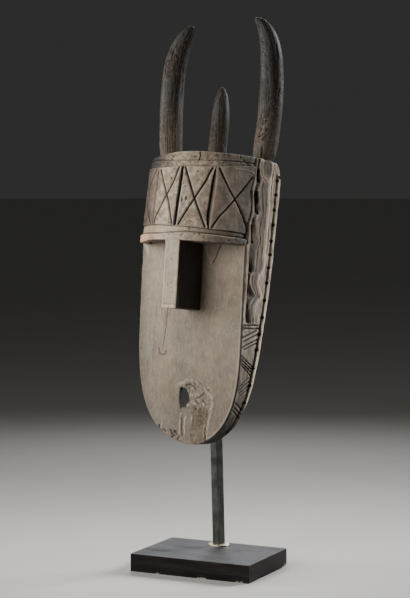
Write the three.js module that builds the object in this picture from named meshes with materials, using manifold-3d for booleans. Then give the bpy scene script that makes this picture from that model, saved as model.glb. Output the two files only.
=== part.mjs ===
// A carved wooden mask with three horns, standing on a steel post over a low black block.

import * as THREE from 'three';
import { mergeVertices } from 'three/addons/utils/BufferGeometryUtils.js';
import Module from 'manifold-3d';

const wasm = await Module();
wasm.setup();

// All sizes are millimetres. The origin is the centre of the block's underside, x to the right,
// y to the back, z up. The mask is drawn upright in its own frame (x across, y back from the
// face panel, z up from the chin) and then leaned back.

const GAP = 0.3;

// Block
const BLOCK_WIDTH = 230;
const BLOCK_DEPTH = 163;
const BLOCK_HEIGHT = 31.6;
const BLOCK_CHAMFER = 0.8;

// Post, turned corner-on and leaning slightly to one side, and the round collar at its foot
const POST_SIDE = 16;
const POST_TURN = - 19;
const POST_LEAN = 1.4;
const POST_LEAN_AXIS = [ 0.4376, - 0.8992 ];
const POST_X = - 7;
const POST_Y = 55;
const COLLAR_RADIUS = 19;
const COLLAR_THICKNESS = 2.2;
const COLLAR_SEGMENTS = 20;

// Where the mask's chin stands, and how far it leans back
const MASK_X = - 10;
const MASK_Y = - 80.5;
const MASK_Z = 233.8;
const MASK_LEAN = 6.64;

// Carved shell
const WALL = 12;
const PANEL_THICKNESS = 11;
const SHELL_DEPTH = 150;
const TOP = 502;
const CEILING = 490;
const CHIN_X = 18;
const LEFT_SIDE = { sign: - 1, reach: 117, height: 241, square: 3.34, round: 2.24 };
const RIGHT_SIDE = { sign: 1, reach: 81.2, height: 183, square: 3.11, round: 1.85 };
const SIDES = [ LEFT_SIDE, RIGHT_SIDE ];
const SIDE_X = 99;
const CHIN_STEPS = 13;

// Back profile seen from the side, as depth behind the panel at each height
const BACK_PROFILE = [
	[ 47, - 40 ], [ 48, 0 ], [ 53, 45 ], [ 64, 116 ], [ 84, 186 ], [ 102, 258 ],
	[ 114, 330 ], [ 123, 402 ], [ 131, 477 ], [ 127, 492 ], [ 105, 509 ], [ 70, 525 ]
];
const BEAD_WIDTH = 11;
const BEAD_RISE = 2.5;
const BEAD_FADE = 110;
const CORD_GROOVE_WIDTH = 7.5;
const CORD_GROOVE_DEPTH = 2;
const CORD_HOLE_RADIUS = 1.9;
const CORD_HOLE_SPACING = 29.5;
const CORD_HOLE_INSET = 16;
const CORD_HOLE_TOP = 470;
const BEAD_NICK_Z = 477;

// Forehead band: a leaning half ellipse in plan, at its lower and upper heights
const FOREHEAD_LOW = { z: 350, reach: 96, back: 18, depth: 109 };
const FOREHEAD_HIGH = { z: 510, reach: 100.5, back: 51, depth: 118 };
const FOREHEAD_SEGMENTS = 30;
const FOREHEAD_WALL = 13;
const SHELF_TOP = 358.5;
const LIP_BOTTOM = 346.5;

// Forehead mouldings from the lip upwards: lowest height, highest height, rise
const MOULDINGS = [
	[ LIP_BOTTOM, 357.5, 2.5 ],
	[ 357.4, 368.2, - 3 ],
	[ 368, 473, 0 ],
	[ 472.8, 484.6, - 2.5 ],
	[ 484.4, 486.6, - 4.5 ],
	[ 486.4, 497, - 2.5 ],
	[ 496.8, TOP, - 5 ]
];

// Incised crosses between the dividers, as angles round the forehead
const CROSS_PANELS = [ [ 163, 121 ], [ 115, 90 ], [ 82.5, 56 ], [ 48.5, 6 ] ];
const CROSS_BOTTOM = 373;
const CROSS_TOP = 472;
const CROSS_RADIUS = 1.5;
const CROSS_STEPS = 6;
const DIVIDERS = [ [ 117.5, 1.5 ], [ 85.5, 3.2 ], [ 53, 3.4 ] ];

// Nose slab
const NOSE_X = 4.8;
const NOSE_WIDTH = 27.2;
const NOSE_BOTTOM = 231.5;
const NOSE_OUT_BOTTOM = 95;
const NOSE_OUT_TOP = 92;

// Mouth opening and the incised eye angles
const MOUTH = [ [ - 11.6, 95 ], [ - 8, 97 ], [ 0, 96.4 ], [ 4, 86 ], [ 6, 76 ], [ 3, 62 ], [ - 8.7, 61 ] ];
const EYE_OUTER = [ 52.5, 344 ];
const EYE_INNER = [ 21.7, 344 ];
const EYE_POINT = [ 36.8, 314.5 ];
const EYE_RADIUS = 1.3;

// Snake relief down each side
const SNAKE_RISE = 3.5;
const SNAKE_HEAD = { y: 73.6, z: 484, halfDepth: 28, halfHeight: 17.5 };
const SNAKE_NECK_Z = 474;
const SNAKE_WAVE_TOP = 392;
const SNAKE_TAIL_Z = 212;
const SNAKE_WAVE = 52;
const SNAKE_WAVE_PEAK_Z = 364;
const SNAKE_SWING = 12;
const SNAKE_STEP = 7.5;

// Hatching below the snake: front height, rise towards the back, number of lines
const HATCH_GROUPS = [ [ 166, 16, 4 ], [ 136, - 19, 4 ], [ 78, 22, 4 ], [ 60, - 20, 3 ] ];
const HATCH_SPACING = 6.2;
const HATCH_FRONT = 5;
const HATCH_BACK = 55;
const HATCH_CHIN_BACK = 42;
const HATCH_RADIUS = 1.2;
const BORDER_LINES = [ 204, 210 ];
const BORDER_BACK = 68;

// Horns: root place, tip height, radius, fullness of the taper, and how late the tip hooks inwards
const HORN_ROOT_Z = 497;
const LEFT_HORN = {
	x: - 88.5, y: 69, tip: 744, radius: 20.8, full: 8, pointed: 2,
	bulge: - 5.9, hook: 34, late: 6.5, forward: 11
};
const RIGHT_HORN = {
	x: 88.5, y: 83.9, tip: 757, radius: 20.6, full: 6.5, pointed: 1.8,
	bulge: 5.9, hook: - 34, late: 8.5, forward: 11
};
const MIDDLE_HORN = {
	x: 0, y: 73.4, tip: 636, radius: 16.4, full: 5.5, pointed: 1.7,
	bulge: 0, hook: 2, late: 1, forward: - 8
};
const HORN_ROOT_SHARE = 0.87;
const HORN_SIDES = 14;
const HORN_RINGS = 12;

const radians = THREE.MathUtils.degToRad;
const mix = THREE.MathUtils.lerp;

// A closed geometry as a solid that can be joined and cut
function solidFrom( geometry ) {

	const bare = geometry.clone();
	bare.deleteAttribute( 'normal' );
	bare.deleteAttribute( 'uv' );
	const welded = mergeVertices( bare, 1e-3 );

	return new wasm.Manifold( new wasm.Mesh( {
		numProp: 3,
		vertProperties: new Float32Array( welded.attributes.position.array ),
		triVerts: new Uint32Array( welded.index.array )
	} ) );

}

// A joined solid as a geometry
function geometryFrom( solid ) {

	const mesh = solid.getMesh();
	const geometry = new THREE.BufferGeometry();
	geometry.setAttribute( 'position', new THREE.BufferAttribute( mesh.vertProperties, 3 ) );
	geometry.setIndex( new THREE.BufferAttribute( mesh.triVerts, 1 ) );
	geometry.computeVertexNormals();

	return geometry;

}

// Moves every vertex of a geometry by a function
function reshape( geometry, move ) {

	const position = geometry.attributes.position;
	const point = new THREE.Vector3();

	for ( let i = 0; i < position.count; i ++ ) {

		point.fromBufferAttribute( position, i );
		move( point );
		position.setXYZ( i, point.x, point.y, point.z );

	}

	return geometry;

}

// A front view outline extruded from one depth to another
function frontPrism( shape, front, back ) {

	const geometry = new THREE.ExtrudeGeometry( shape, { depth: back - front, bevelEnabled: false } );
	geometry.rotateX( Math.PI / 2 );
	geometry.translate( 0, back, 0 );

	return solidFrom( geometry );

}

// A side view outline (depth, height) extruded across from one x to another
function sidePrism( shape, left, right ) {

	const geometry = new THREE.ExtrudeGeometry( shape, { depth: right - left, bevelEnabled: false } );
	const turn = new THREE.Matrix4().makeBasis(
		new THREE.Vector3( 0, 1, 0 ), new THREE.Vector3( 0, 0, 1 ), new THREE.Vector3( 1, 0, 0 ) );
	geometry.applyMatrix4( turn );
	geometry.translate( left, 0, 0 );

	return solidFrom( geometry );

}

// A shape from pairs of numbers
function shapeOf( pairs ) {

	return new THREE.Shape( pairs.map( ( [ x, y ] ) => new THREE.Vector2( x, y ) ) );

}

// A six sided bar along a line of points, used to cut grooves
function bar( points, radius, steps ) {

	const section = [];

	for ( let i = 0; i < 6; i ++ ) {

		const angle = i * Math.PI / 3;
		section.push( [ radius * Math.cos( angle ), radius * Math.sin( angle ) ] );

	}

	const path = points.length > 2
		? new THREE.CatmullRomCurve3( points )
		: new THREE.LineCurve3( points[ 0 ], points[ 1 ] );

	return solidFrom( new THREE.ExtrudeGeometry( shapeOf( section ), { steps, extrudePath: path } ) );

}

// One side of the face outline, from the chin's lowest point up to a given height
function sideLine( side, top ) {

	const line = [];

	for ( let i = 0; i <= CHIN_STEPS; i ++ ) {

		const angle = i / CHIN_STEPS * Math.PI / 2;
		const out = side.reach * Math.sin( angle ) ** ( 2 / side.round );
		const down = Math.max( Math.cos( angle ), 0 ) ** ( 2 / side.square );
		line.push( new THREE.Vector2( CHIN_X + side.sign * out, side.height * ( 1 - down ) ) );

	}

	line.push( new THREE.Vector2( side.sign * SIDE_X, top ) );

	return line;

}

// The whole face outline, grown outwards by an amount that may fade out towards the chin
function outline( grow, top, fade = 0 ) {

	const line = [ ...sideLine( LEFT_SIDE, top ).reverse(), ...sideLine( RIGHT_SIDE, top ).slice( 1 ) ];

	return line.map( ( point, i ) => {

		const before = line[ Math.max( i - 1, 0 ) ];
		const after = line[ Math.min( i + 1, line.length - 1 ) ];
		const along = after.clone().sub( before ).normalize();
		const out = fade > 0 ? grow * THREE.MathUtils.smoothstep( point.y, 0, fade ) : grow;

		return new THREE.Vector2( point.x + along.y * out, point.y - along.x * out );

	} );

}

// The outline as a solid between two depths
function outlinePrism( grow, top, front, back, fade ) {

	return frontPrism( new THREE.Shape( outline( grow, top, fade ) ), front, back );

}

const backCurve = new THREE.SplineCurve( BACK_PROFILE.map( ( [ y, z ] ) => new THREE.Vector2( y, z ) ) );
const backLine = backCurve.getPoints( 33 );

// Depth of the back rim at a height
function backAt( z ) {

	const above = backLine.findIndex( ( point ) => point.y > z );
	const high = backLine[ above ];
	const low = backLine[ above - 1 ];

	return mix( low.x, high.x, ( z - low.y ) / ( high.y - low.y ) );

}

// Everything behind the back profile, moved forward by an amount
function behind( forward ) {

	const points = backLine.map( ( point ) => [ point.x - forward, point.y ] );

	return sidePrism( shapeOf( [ ...points, [ 260, 525 ], [ 260, - 40 ] ] ), - 160, 160 );

}

// The forehead's half ellipse at a height
function foreheadAt( z ) {

	const share = ( z - FOREHEAD_LOW.z ) / ( FOREHEAD_HIGH.z - FOREHEAD_LOW.z );

	return {
		reach: mix( FOREHEAD_LOW.reach, FOREHEAD_HIGH.reach, share ),
		back: mix( FOREHEAD_LOW.back, FOREHEAD_HIGH.back, share ),
		depth: mix( FOREHEAD_LOW.depth, FOREHEAD_HIGH.depth, share )
	};

}

// A point on the forehead, by angle round it and height
function onForehead( angle, z ) {

	const { reach, back, depth } = foreheadAt( z );
	const turn = radians( angle );

	return new THREE.Vector3( reach * Math.cos( turn ), back - depth * Math.sin( turn ), z );

}

// A slice of the forehead between two heights
function foreheadLayer( low, high, rise ) {

	const plan = [];

	for ( let i = 0; i <= FOREHEAD_SEGMENTS; i ++ ) {

		const turn = i / FOREHEAD_SEGMENTS * Math.PI;
		plan.push( [ Math.cos( turn ), - Math.sin( turn ) ] );

	}

	plan.push( [ - 1, 0.2 ], [ 1, 0.2 ] );
	const geometry = new THREE.ExtrudeGeometry( shapeOf( plan ), { depth: high - low, bevelEnabled: false } );
	geometry.translate( 0, 0, low );
	reshape( geometry, ( point ) => {

		const { reach, back, depth } = foreheadAt( point.z );
		point.x *= reach + rise;
		point.y = back + point.y * ( depth + rise );

	} );

	return solidFrom( geometry );

}

// The open shell: face panel, side walls and hollow, with the forehead on it
function shell() {

	const low = foreheadAt( LIP_BOTTOM ).back;
	const high = foreheadAt( TOP + 8 ).back;
	const clearFront = shapeOf( [ [ - 20, LIP_BOTTOM ], [ low, LIP_BOTTOM ], [ high, TOP + 8 ], [ - 20, TOP + 8 ] ] );

	let body = outlinePrism( 0, TOP, 0, SHELL_DEPTH );
	body = body.subtract( sidePrism( clearFront, - 130, 130 ) );
	const beadRing = outlinePrism( BEAD_RISE, TOP + 1, 20, SHELL_DEPTH, BEAD_FADE );
	body = body.add( beadRing.intersect( behind( BEAD_WIDTH ) ) );

	for ( const [ bottom, top, rise ] of MOULDINGS ) {

		body = body.add( foreheadLayer( bottom, top, rise ) );

	}

	const grooveSlab = behind( BEAD_WIDTH + CORD_GROOVE_WIDTH ).subtract( behind( BEAD_WIDTH ) );
	const grooveRing = outlinePrism( 8, TOP + 20, 10, SHELL_DEPTH )
		.subtract( outlinePrism( - CORD_GROOVE_DEPTH, TOP + 30, 0, SHELL_DEPTH + 10 ) );
	body = body.subtract( grooveRing.intersect( grooveSlab ) );
	body = body.subtract( behind( 0 ) );
	body = body.subtract( outlinePrism( - WALL, CEILING, PANEL_THICKNESS, SHELL_DEPTH + 10 ) );
	body = body.subtract( foreheadLayer( SHELF_TOP, CEILING, - FOREHEAD_WALL ) );

	return body;

}

// Small round holes along the cord groove, each square to the wall
function cordHoles() {

	const line = new THREE.CurvePath();
	const edge = outline( 0, CORD_HOLE_TOP );

	for ( let i = 1; i < edge.length; i ++ ) {

		line.add( new THREE.LineCurve( edge[ i - 1 ], edge[ i ] ) );

	}

	const count = Math.round( line.getLength() / CORD_HOLE_SPACING );
	const holes = [];

	for ( let i = 0; i <= count; i ++ ) {

		const place = line.getPointAt( i / count );
		const along = line.getTangentAt( i / count );
		const y = backAt( place.y ) - CORD_HOLE_INSET;
		const middle = new THREE.Vector3( place.x, y, place.y );
		const out = new THREE.Vector3( along.y, 0, - along.x );
		const inner = middle.clone().addScaledVector( out, - WALL - 6 );
		const outer = middle.clone().addScaledVector( out, 5 );
		holes.push( bar( [ inner, outer ], CORD_HOLE_RADIUS, 1 ) );

	}

	return holes;

}

// Crosses and dividers cut into the forehead
function foreheadGrooves() {

	const grooves = [];
	const strike = ( from, to, radius ) => {

		const points = [];

		for ( let i = 0; i <= CROSS_STEPS; i ++ ) {

			const share = i / CROSS_STEPS;
			points.push( onForehead( mix( from, to, share ), mix( CROSS_BOTTOM, CROSS_TOP, share ) ) );

		}

		grooves.push( bar( points, radius, CROSS_STEPS ) );

	};

	for ( const [ left, right ] of CROSS_PANELS ) {

		strike( left, right, CROSS_RADIUS );
		strike( right, left, CROSS_RADIUS );

	}

	for ( const [ angle, radius ] of DIVIDERS ) {

		strike( angle, angle, radius );

	}

	return grooves;

}

// The nose: a slab standing out from the panel up to the lip
function nose() {

	const profile = shapeOf( [
		[ - NOSE_OUT_BOTTOM, NOSE_BOTTOM ], [ 4, NOSE_BOTTOM ], [ 4, 354 ], [ - NOSE_OUT_TOP, 354 ]
	] );

	return sidePrism( profile, NOSE_X - NOSE_WIDTH / 2, NOSE_X + NOSE_WIDTH / 2 );

}

// The mouth opening and the two lines of each eye
function panelCuts() {

	const cuts = [ frontPrism( shapeOf( MOUTH ), - 6, PANEL_THICKNESS + 6 ) ];

	for ( const side of SIDES ) {

		const place = ( [ x, z ] ) => new THREE.Vector3( NOSE_X + side.sign * ( x - NOSE_X ), 0, z );
		cuts.push( bar( [ place( EYE_OUTER ), place( EYE_POINT ) ], EYE_RADIUS, 1 ) );
		cuts.push( bar( [ place( EYE_INNER ), place( EYE_POINT ) ], EYE_RADIUS, 1 ) );

	}

	return cuts;

}

// Middle line and half width of the snake's waving body at a height
function snakeBody( z ) {

	const share = THREE.MathUtils.clamp( ( SNAKE_WAVE_TOP - z ) / ( SNAKE_WAVE_TOP - SNAKE_TAIL_Z ), 0, 1 );
	const wave = Math.cos( ( z - SNAKE_WAVE_PEAK_Z ) / SNAKE_WAVE * 2 * Math.PI );
	const swing = SNAKE_SWING * Math.min( 1, share * 6 ) * ( 1 - 0.5 * share ) * wave;

	return { middle: mix( 61, 38, share ) + swing, half: mix( 27, 8, Math.sqrt( share ) ) };

}

// The snake as a raised relief on one side
function snake( side ) {

	const front = [];
	const rear = [];

	for ( let z = SNAKE_TAIL_Z; z <= SNAKE_NECK_Z; z += SNAKE_STEP ) {

		const { middle, half } = snakeBody( z );
		front.push( [ middle - half, z ] );
		rear.unshift( [ middle + half, z ] );

	}

	const head = new THREE.Shape();
	head.absellipse( SNAKE_HEAD.y, SNAKE_HEAD.z, SNAKE_HEAD.halfDepth, SNAKE_HEAD.halfHeight, 0, 2 * Math.PI );
	const headPoints = head.getSpacedPoints( 20 ).slice( 0, - 1 ).map( ( point ) => [ point.x, point.y ] );
	const inner = SIDE_X - 4;
	const outer = SIDE_X + SNAKE_RISE;
	const [ left, right ] = side.sign > 0 ? [ inner, outer ] : [ - outer, - inner ];

	return sidePrism( shapeOf( [ ...front, ...rear ] ), left, right )
		.add( sidePrism( shapeOf( headPoints ), left, right ) );

}

// How far the outline stands from the middle at a height
function outlineX( side, z ) {

	const up = THREE.MathUtils.clamp( 1 - z / side.height, 0, 1 );

	return CHIN_X + side.sign * side.reach * ( 1 - up ** side.square ) ** ( 1 / side.round );

}

// Straight hatching and border lines cut across one side
function hatching( side ) {

	const lines = [];
	const strike = ( frontZ, backZ, back ) => {

		const points = [ 0, 1 / 3, 2 / 3, 1 ].map( ( share ) => {

			const z = mix( frontZ, backZ, share );

			return new THREE.Vector3( outlineX( side, z ), mix( HATCH_FRONT, back, share ), z );

		} );
		lines.push( bar( points, HATCH_RADIUS, 3 ) );

	};

	for ( const [ z, rise, count ] of HATCH_GROUPS ) {

		for ( let i = 0; i < count; i ++ ) {

			const start = z + i * HATCH_SPACING;
			strike( start, start + rise, z < 100 ? HATCH_CHIN_BACK : HATCH_BACK );

		}

	}

	for ( const z of BORDER_LINES ) {

		strike( z, z, BORDER_BACK );

	}

	return lines;

}

// One horn, bent by its own curve
function horn( { x, y, tip, radius, full, pointed, bulge, hook, late, forward } ) {

	const geometry = new THREE.CylinderGeometry( 1, 1, 1, HORN_SIDES, HORN_RINGS );
	geometry.rotateX( Math.PI / 2 );
	reshape( geometry, ( point ) => {

		// Rings crowd towards the tip, where the taper is quick
		const share = 1 - ( 0.5 - point.z ) ** 1.5;
		const swell = Math.sin( Math.PI * share );
		const curl = share ** late;
		const rootShare = mix( HORN_ROOT_SHARE, 1, Math.min( 1, share * 6 ) );
		const size = radius * rootShare * Math.max( 0.1, 1 - share ** full ) ** ( 1 / pointed );
		point.x = x + bulge * swell + hook * curl + point.x * size;
		point.y = y + 3 * swell - forward * curl + point.y * size;
		point.z = mix( HORN_ROOT_Z, tip, share );

	} );

	return solidFrom( geometry );

}

// The mask: one piece of wood
function maskGeometry() {

	let body = shell().add( nose() );

	for ( const side of SIDES ) {

		body = body.add( snake( side ) );

	}

	for ( const shape of [ LEFT_HORN, RIGHT_HORN, MIDDLE_HORN ] ) {

		body = body.add( horn( shape ) );

	}

	const nick = new THREE.BoxGeometry( 12, 9, 5 );
	nick.translate( SIDE_X + 5, backAt( BEAD_NICK_Z ) - 2, BEAD_NICK_Z );
	const cuts = [ solidFrom( nick ), ...cordHoles(), ...foreheadGrooves(), ...panelCuts() ];

	for ( const side of SIDES ) {

		cuts.push( ...hatching( side ) );

	}

	for ( const cut of cuts ) {

		body = body.subtract( cut );

	}

	return geometryFrom( body );

}

// The post, cut flat at its foot and to the slope of the crown's inside at its top
function postGeometry() {

	const length = 760;
	const foot = BLOCK_HEIGHT + GAP;
	const post = new THREE.BoxGeometry( POST_SIDE, POST_SIDE, length );
	post.translate( 0, 0, length / 2 - 10 );
	post.rotateZ( radians( POST_TURN ) );
	const axis = new THREE.Vector3( ...POST_LEAN_AXIS, 0 ).normalize();
	post.applyMatrix4( new THREE.Matrix4().makeRotationAxis( axis, radians( POST_LEAN ) ) );
	post.translate( POST_X, POST_Y, foot );

	const floor = new THREE.BoxGeometry( 100, 100, 60 );
	floor.translate( POST_X, POST_Y, foot - 30 );

	const crown = new THREE.BoxGeometry( 400, 400, 200 );
	crown.translate( 0, 0, CEILING - GAP + 100 );
	crown.rotateX( - radians( MASK_LEAN ) );
	crown.translate( MASK_X, MASK_Y, MASK_Z );

	return geometryFrom( solidFrom( post ).subtract( solidFrom( floor ) ).subtract( solidFrom( crown ) ) );

}

// A thin round plate with a square hole for the post
function collarGeometry() {

	const hole = POST_SIDE / 2 + GAP;
	const plate = new THREE.Shape();
	plate.absarc( 0, 0, COLLAR_RADIUS, 0, 2 * Math.PI );
	plate.holes.push( shapeOf( [ [ - hole, - hole ], [ - hole, hole ], [ hole, hole ], [ hole, - hole ] ] ) );

	return new THREE.ExtrudeGeometry( plate, {
		depth: COLLAR_THICKNESS,
		bevelEnabled: false,
		curveSegments: COLLAR_SEGMENTS
	} );

}

// The block, with a slight chamfer all round
function blockGeometry() {

	const x = BLOCK_WIDTH / 2 - BLOCK_CHAMFER;
	const y = BLOCK_DEPTH / 2 - BLOCK_CHAMFER;
	const geometry = new THREE.ExtrudeGeometry( shapeOf( [ [ - x, - y ], [ x, - y ], [ x, y ], [ - x, y ] ] ), {
		depth: BLOCK_HEIGHT - 2 * BLOCK_CHAMFER,
		bevelThickness: BLOCK_CHAMFER,
		bevelSize: BLOCK_CHAMFER,
		bevelSegments: 1
	} );
	geometry.translate( 0, 0, BLOCK_CHAMFER );

	return geometry;

}

const wood = new THREE.MeshStandardMaterial( { color: 0x6f6656, roughness: 0.82, metalness: 0 } );
const steel = new THREE.MeshStandardMaterial( { color: 0x5c5f58, roughness: 0.45, metalness: 0.85 } );
const brass = new THREE.MeshStandardMaterial( { color: 0x6a5836, roughness: 0.4, metalness: 0.8 } );
const black = new THREE.MeshStandardMaterial( { color: 0x1b1a18, roughness: 0.5, metalness: 0 } );

const display = new THREE.Group();

const block = new THREE.Mesh( blockGeometry(), black );
block.name = 'stand_block';
display.add( block );

const collar = new THREE.Mesh( collarGeometry(), brass );
collar.name = 'post_collar';
collar.position.set( POST_X, POST_Y, BLOCK_HEIGHT + GAP );
collar.rotation.z = radians( POST_TURN );
display.add( collar );

const post = new THREE.Mesh( postGeometry(), steel );
post.name = 'post';
display.add( post );

const mask = new THREE.Mesh( maskGeometry(), wood );
mask.name = 'mask';
mask.position.set( MASK_X, MASK_Y, MASK_Z );
mask.rotation.x = - radians( MASK_LEAN );
display.add( mask );

export default display;
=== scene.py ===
# %% [markdown]
# # A carved mask on its stand
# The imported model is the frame: every piece made here goes exactly where it says. All the
# sizes below are millimetres, and each mesh is turned to metres when it is put in. The solids
# carry the large shapes; the pieces here add the wear, the fine relief and the finish.

# %% Load the frame
import math
from itertools import product
import bpy
import numpy as np
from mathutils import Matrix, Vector


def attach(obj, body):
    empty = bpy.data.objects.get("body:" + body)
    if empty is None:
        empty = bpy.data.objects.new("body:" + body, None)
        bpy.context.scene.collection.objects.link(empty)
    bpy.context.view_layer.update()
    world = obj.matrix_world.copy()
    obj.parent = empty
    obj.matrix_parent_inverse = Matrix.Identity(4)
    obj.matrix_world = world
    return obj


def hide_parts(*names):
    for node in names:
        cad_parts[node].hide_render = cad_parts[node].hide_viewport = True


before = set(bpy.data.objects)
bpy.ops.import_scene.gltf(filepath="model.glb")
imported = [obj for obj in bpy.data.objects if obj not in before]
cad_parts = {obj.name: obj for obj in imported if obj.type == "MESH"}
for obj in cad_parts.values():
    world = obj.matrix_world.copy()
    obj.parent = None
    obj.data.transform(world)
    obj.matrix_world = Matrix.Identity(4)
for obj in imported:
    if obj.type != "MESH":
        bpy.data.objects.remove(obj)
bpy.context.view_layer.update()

MM = 0.001

# %% [markdown]
# ## Camera
# The picture was taken from a little above the mask's middle and from its own left side.
# It could be moved about by eye until the views agree. Here it stands at the place worked
# out from the corners of the block, whose right angles show the angle of view well.

# %% Camera
CAMERA_PLACE = (1414.2, -2922.9, 710.1)
CAMERA_TARGET = (-6.57, -3.20, 480.13)
SENSOR_HEIGHT = 24.0
FOCAL_PIXELS = 1850
PICTURE_HEIGHT = 598

lens = bpy.data.cameras.new("camera")
lens.sensor_fit = "VERTICAL"
lens.sensor_height = SENSOR_HEIGHT
lens.lens = FOCAL_PIXELS / PICTURE_HEIGHT * SENSOR_HEIGHT
lens.clip_end = 100
camera = bpy.data.objects.new("camera", lens)
bpy.context.scene.collection.objects.link(camera)
camera.location = Vector(CAMERA_PLACE) * MM
sight = (Vector(CAMERA_TARGET) - Vector(CAMERA_PLACE)) * MM
camera.rotation_euler = sight.to_track_quat("-Z", "Y").to_euler()
bpy.context.scene.camera = camera
print("lens", round(lens.lens, 2), "mm, distance", round(sight.length, 3), "m")

# %% [markdown]
# ## Random fields
# Hand tools and age leave uneven surfaces. A smooth random field gives every point of space a
# value between -1 and 1, so two pieces that meet get the same unevenness where they touch.
# Blender's own noise answers one point at a time, so the field is worked out for whole grids.

# %% Random fields
def field(points, size, seed=0):
    """Hashed random numbers at the corners of a lattice of the given cell size, blended with
    the smoothstep weight f*f*(3-2f) along each axis. size may be one number or three."""
    place = points / np.asarray(size, float) + 17.3
    cell = np.floor(place).astype(np.int64)
    part = place - cell
    part = part * part * (3 - 2 * part)
    total = np.zeros(points.shape[:-1])
    for corner in product((0, 1), repeat=3):
        at = cell + np.array(corner)
        code = at[..., 0] * 73856093 ^ at[..., 1] * 19349663 ^ at[..., 2] * 83492791
        code = (code ^ seed * 2654435761) & 0xFFFFFFFF
        code = ((code ^ code >> 15) * 2246822519) & 0xFFFFFFFF
        code = ((code ^ code >> 13) * 3266489917) & 0xFFFFFFFF
        value = (code ^ code >> 16 & 0xFFFF) & 0xFFFF
        total += value / 65535 * np.prod(np.where(corner, part, 1 - part), axis=-1)
    return total * 2 - 1


def rough(points, size, octaves, seed):
    """A sum of fields, each with half the cell size and half the height of the one before."""
    return sum(field(points, np.asarray(size, float) / 2 ** k, seed + k) / 2 ** k
               for k in range(octaves))


print("field check", np.round(field(np.array([[0.0, 0, 0], [9.0, 2, 1]]), 5), 3))

# %% [markdown]
# ## Steps, bands, grooves and lines
# Carving is made of a few forms that come again and again: an edge that steps down, a flat
# band, a round-bottomed cut and a cut along a bent line. They could be modelled face by face.
# Written once as functions of a distance, they serve for depth and for colour alike.

# %% Steps, bands and grooves
def step(value, low, high):
    """Smooth rise from 0 at low to 1 at high: 3k^2 - 2k^3."""
    k = np.clip((value - low) / (high - low), 0, 1)
    return k * k * (3 - 2 * k)


def band(value, low, high, soft):
    """1 between low and high, falling off smoothly over soft on both sides."""
    return step(value, low - soft, low) * (1 - step(value, high, high + soft))


def groove(distance, half):
    """Round-bottomed cut: 1 on its line, 0 at half its width, by (1 - (d/half)^2)."""
    return np.clip(1 - (distance / half) ** 2, 0, 1)


def to_lines(u, v, places):
    """Distance from (u, v) to a chain of straight lines through the given places."""
    best = np.full(np.shape(u), 1e9)
    for (au, av), (bu, bv) in zip(places[:-1], places[1:]):
        du, dv = bu - au, bv - av
        k = np.clip(((u - au) * du + (v - av) * dv) / (du * du + dv * dv), 0, 1)
        best = np.minimum(best, np.hypot(u - au - k * du, v - av - k * dv))
    return best


def ladder(value, places, heights):
    """A rounded profile: the heights in turn, with one smooth step from each place to the
    next. A place may vary from point to point, and is kept behind the one before it."""
    result, before = heights[0] + 0.0 * value, places[0]
    for place, low, high in zip(places[1:], heights[:-1], heights[1:]):
        place = np.maximum(place, before + 0.8)
        result = result + (high - low) * step(value, before, place)
        before = place
    return result


print("step at 0, 0.25, 0.5:", step(np.array([0, 0.25, 0.5]), 0, 1))

# %% [markdown]
# ## Spacing and smoothing
# Grids should be fine where the form is small and coarse where it is plain. A voxel remesh
# starts from one size of face everywhere, so the rows are placed by a wanted spacing instead.
# Averages round off what is given by straight lines.

# %% Spacing and smoothing
def slid(values, width):
    """A sliding average over width samples, the ends held."""
    kernel = np.hanning(width)
    padded = np.pad(values, width // 2, mode="edge")
    return np.convolve(padded, kernel / kernel.sum(), mode="valid")


def length_along(u, v):
    """Length gone along a line of points, from 0 at the first."""
    return np.concatenate([[0], np.cumsum(np.hypot(np.diff(u), np.diff(v)))])


def rounded_off(inward, radius):
    """Fall of a quarter-round edge: radius - sqrt(radius^2 - c^2), c going from 0 where the
    rounding starts to the radius at the edge."""
    return radius - np.sqrt(radius ** 2 - np.clip(inward, 0, radius) ** 2)


def spaced(low, high, spacing):
    """Values from low to high, set apart by spacing(value): equal steps of the integral of
    1 / spacing."""
    line = np.linspace(low, high, 6000)
    pace = 1 / spacing(line)
    gone = np.concatenate([[0], np.cumsum((pace[1:] + pace[:-1]) / 2 * np.diff(line))])
    count = max(int(np.ceil(gone[-1])), 2)
    return np.interp(np.linspace(0, gone[-1], count + 1), gone, line)


def level(relief, rounds):
    """A height grid smoothed by repeated averages of each point with its neighbours."""
    for _ in range(rounds):
        padded = np.pad(relief, 1, mode="edge")
        relief = (padded[:-2, 1:-1] + padded[2:, 1:-1] + padded[1:-1, :-2]
                  + padded[1:-1, 2:] + relief * 4) / 8
    return relief


print("steps of at most 2 mm from 0 to 9:", np.round(spaced(0, 9, lambda t: 2 + 0 * t), 2))

# %% [markdown]
# ## From grids to closed meshes
# Most of the mask is a wall of wood, so most pieces are two matching grids of points: the
# outer face and the inner face. The cells that are kept become quads on both, and a strip
# closes the wall round every edge, holes included. Rods and horns are rings stacked along a
# path, closed at both ends. A box cut by Boolean modifiers would also give a hollow, but its
# faces would be too uneven to carry fine relief.

# %% Mesh builders
SHARP_ANGLE = 40


def turned_out(points, quads, triangles):
    """Turns every face over if the mesh encloses a negative volume."""
    triangle_list = np.concatenate([quads[:, [0, 1, 2]], quads[:, [0, 2, 3]], triangles])
    a, b, c = (points[triangle_list[:, k]] for k in range(3))
    if np.einsum("ij,ij->", a, np.cross(b, c)) < 0:
        quads, triangles = quads[:, ::-1], triangles[:, ::-1]
    return quads, triangles


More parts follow.
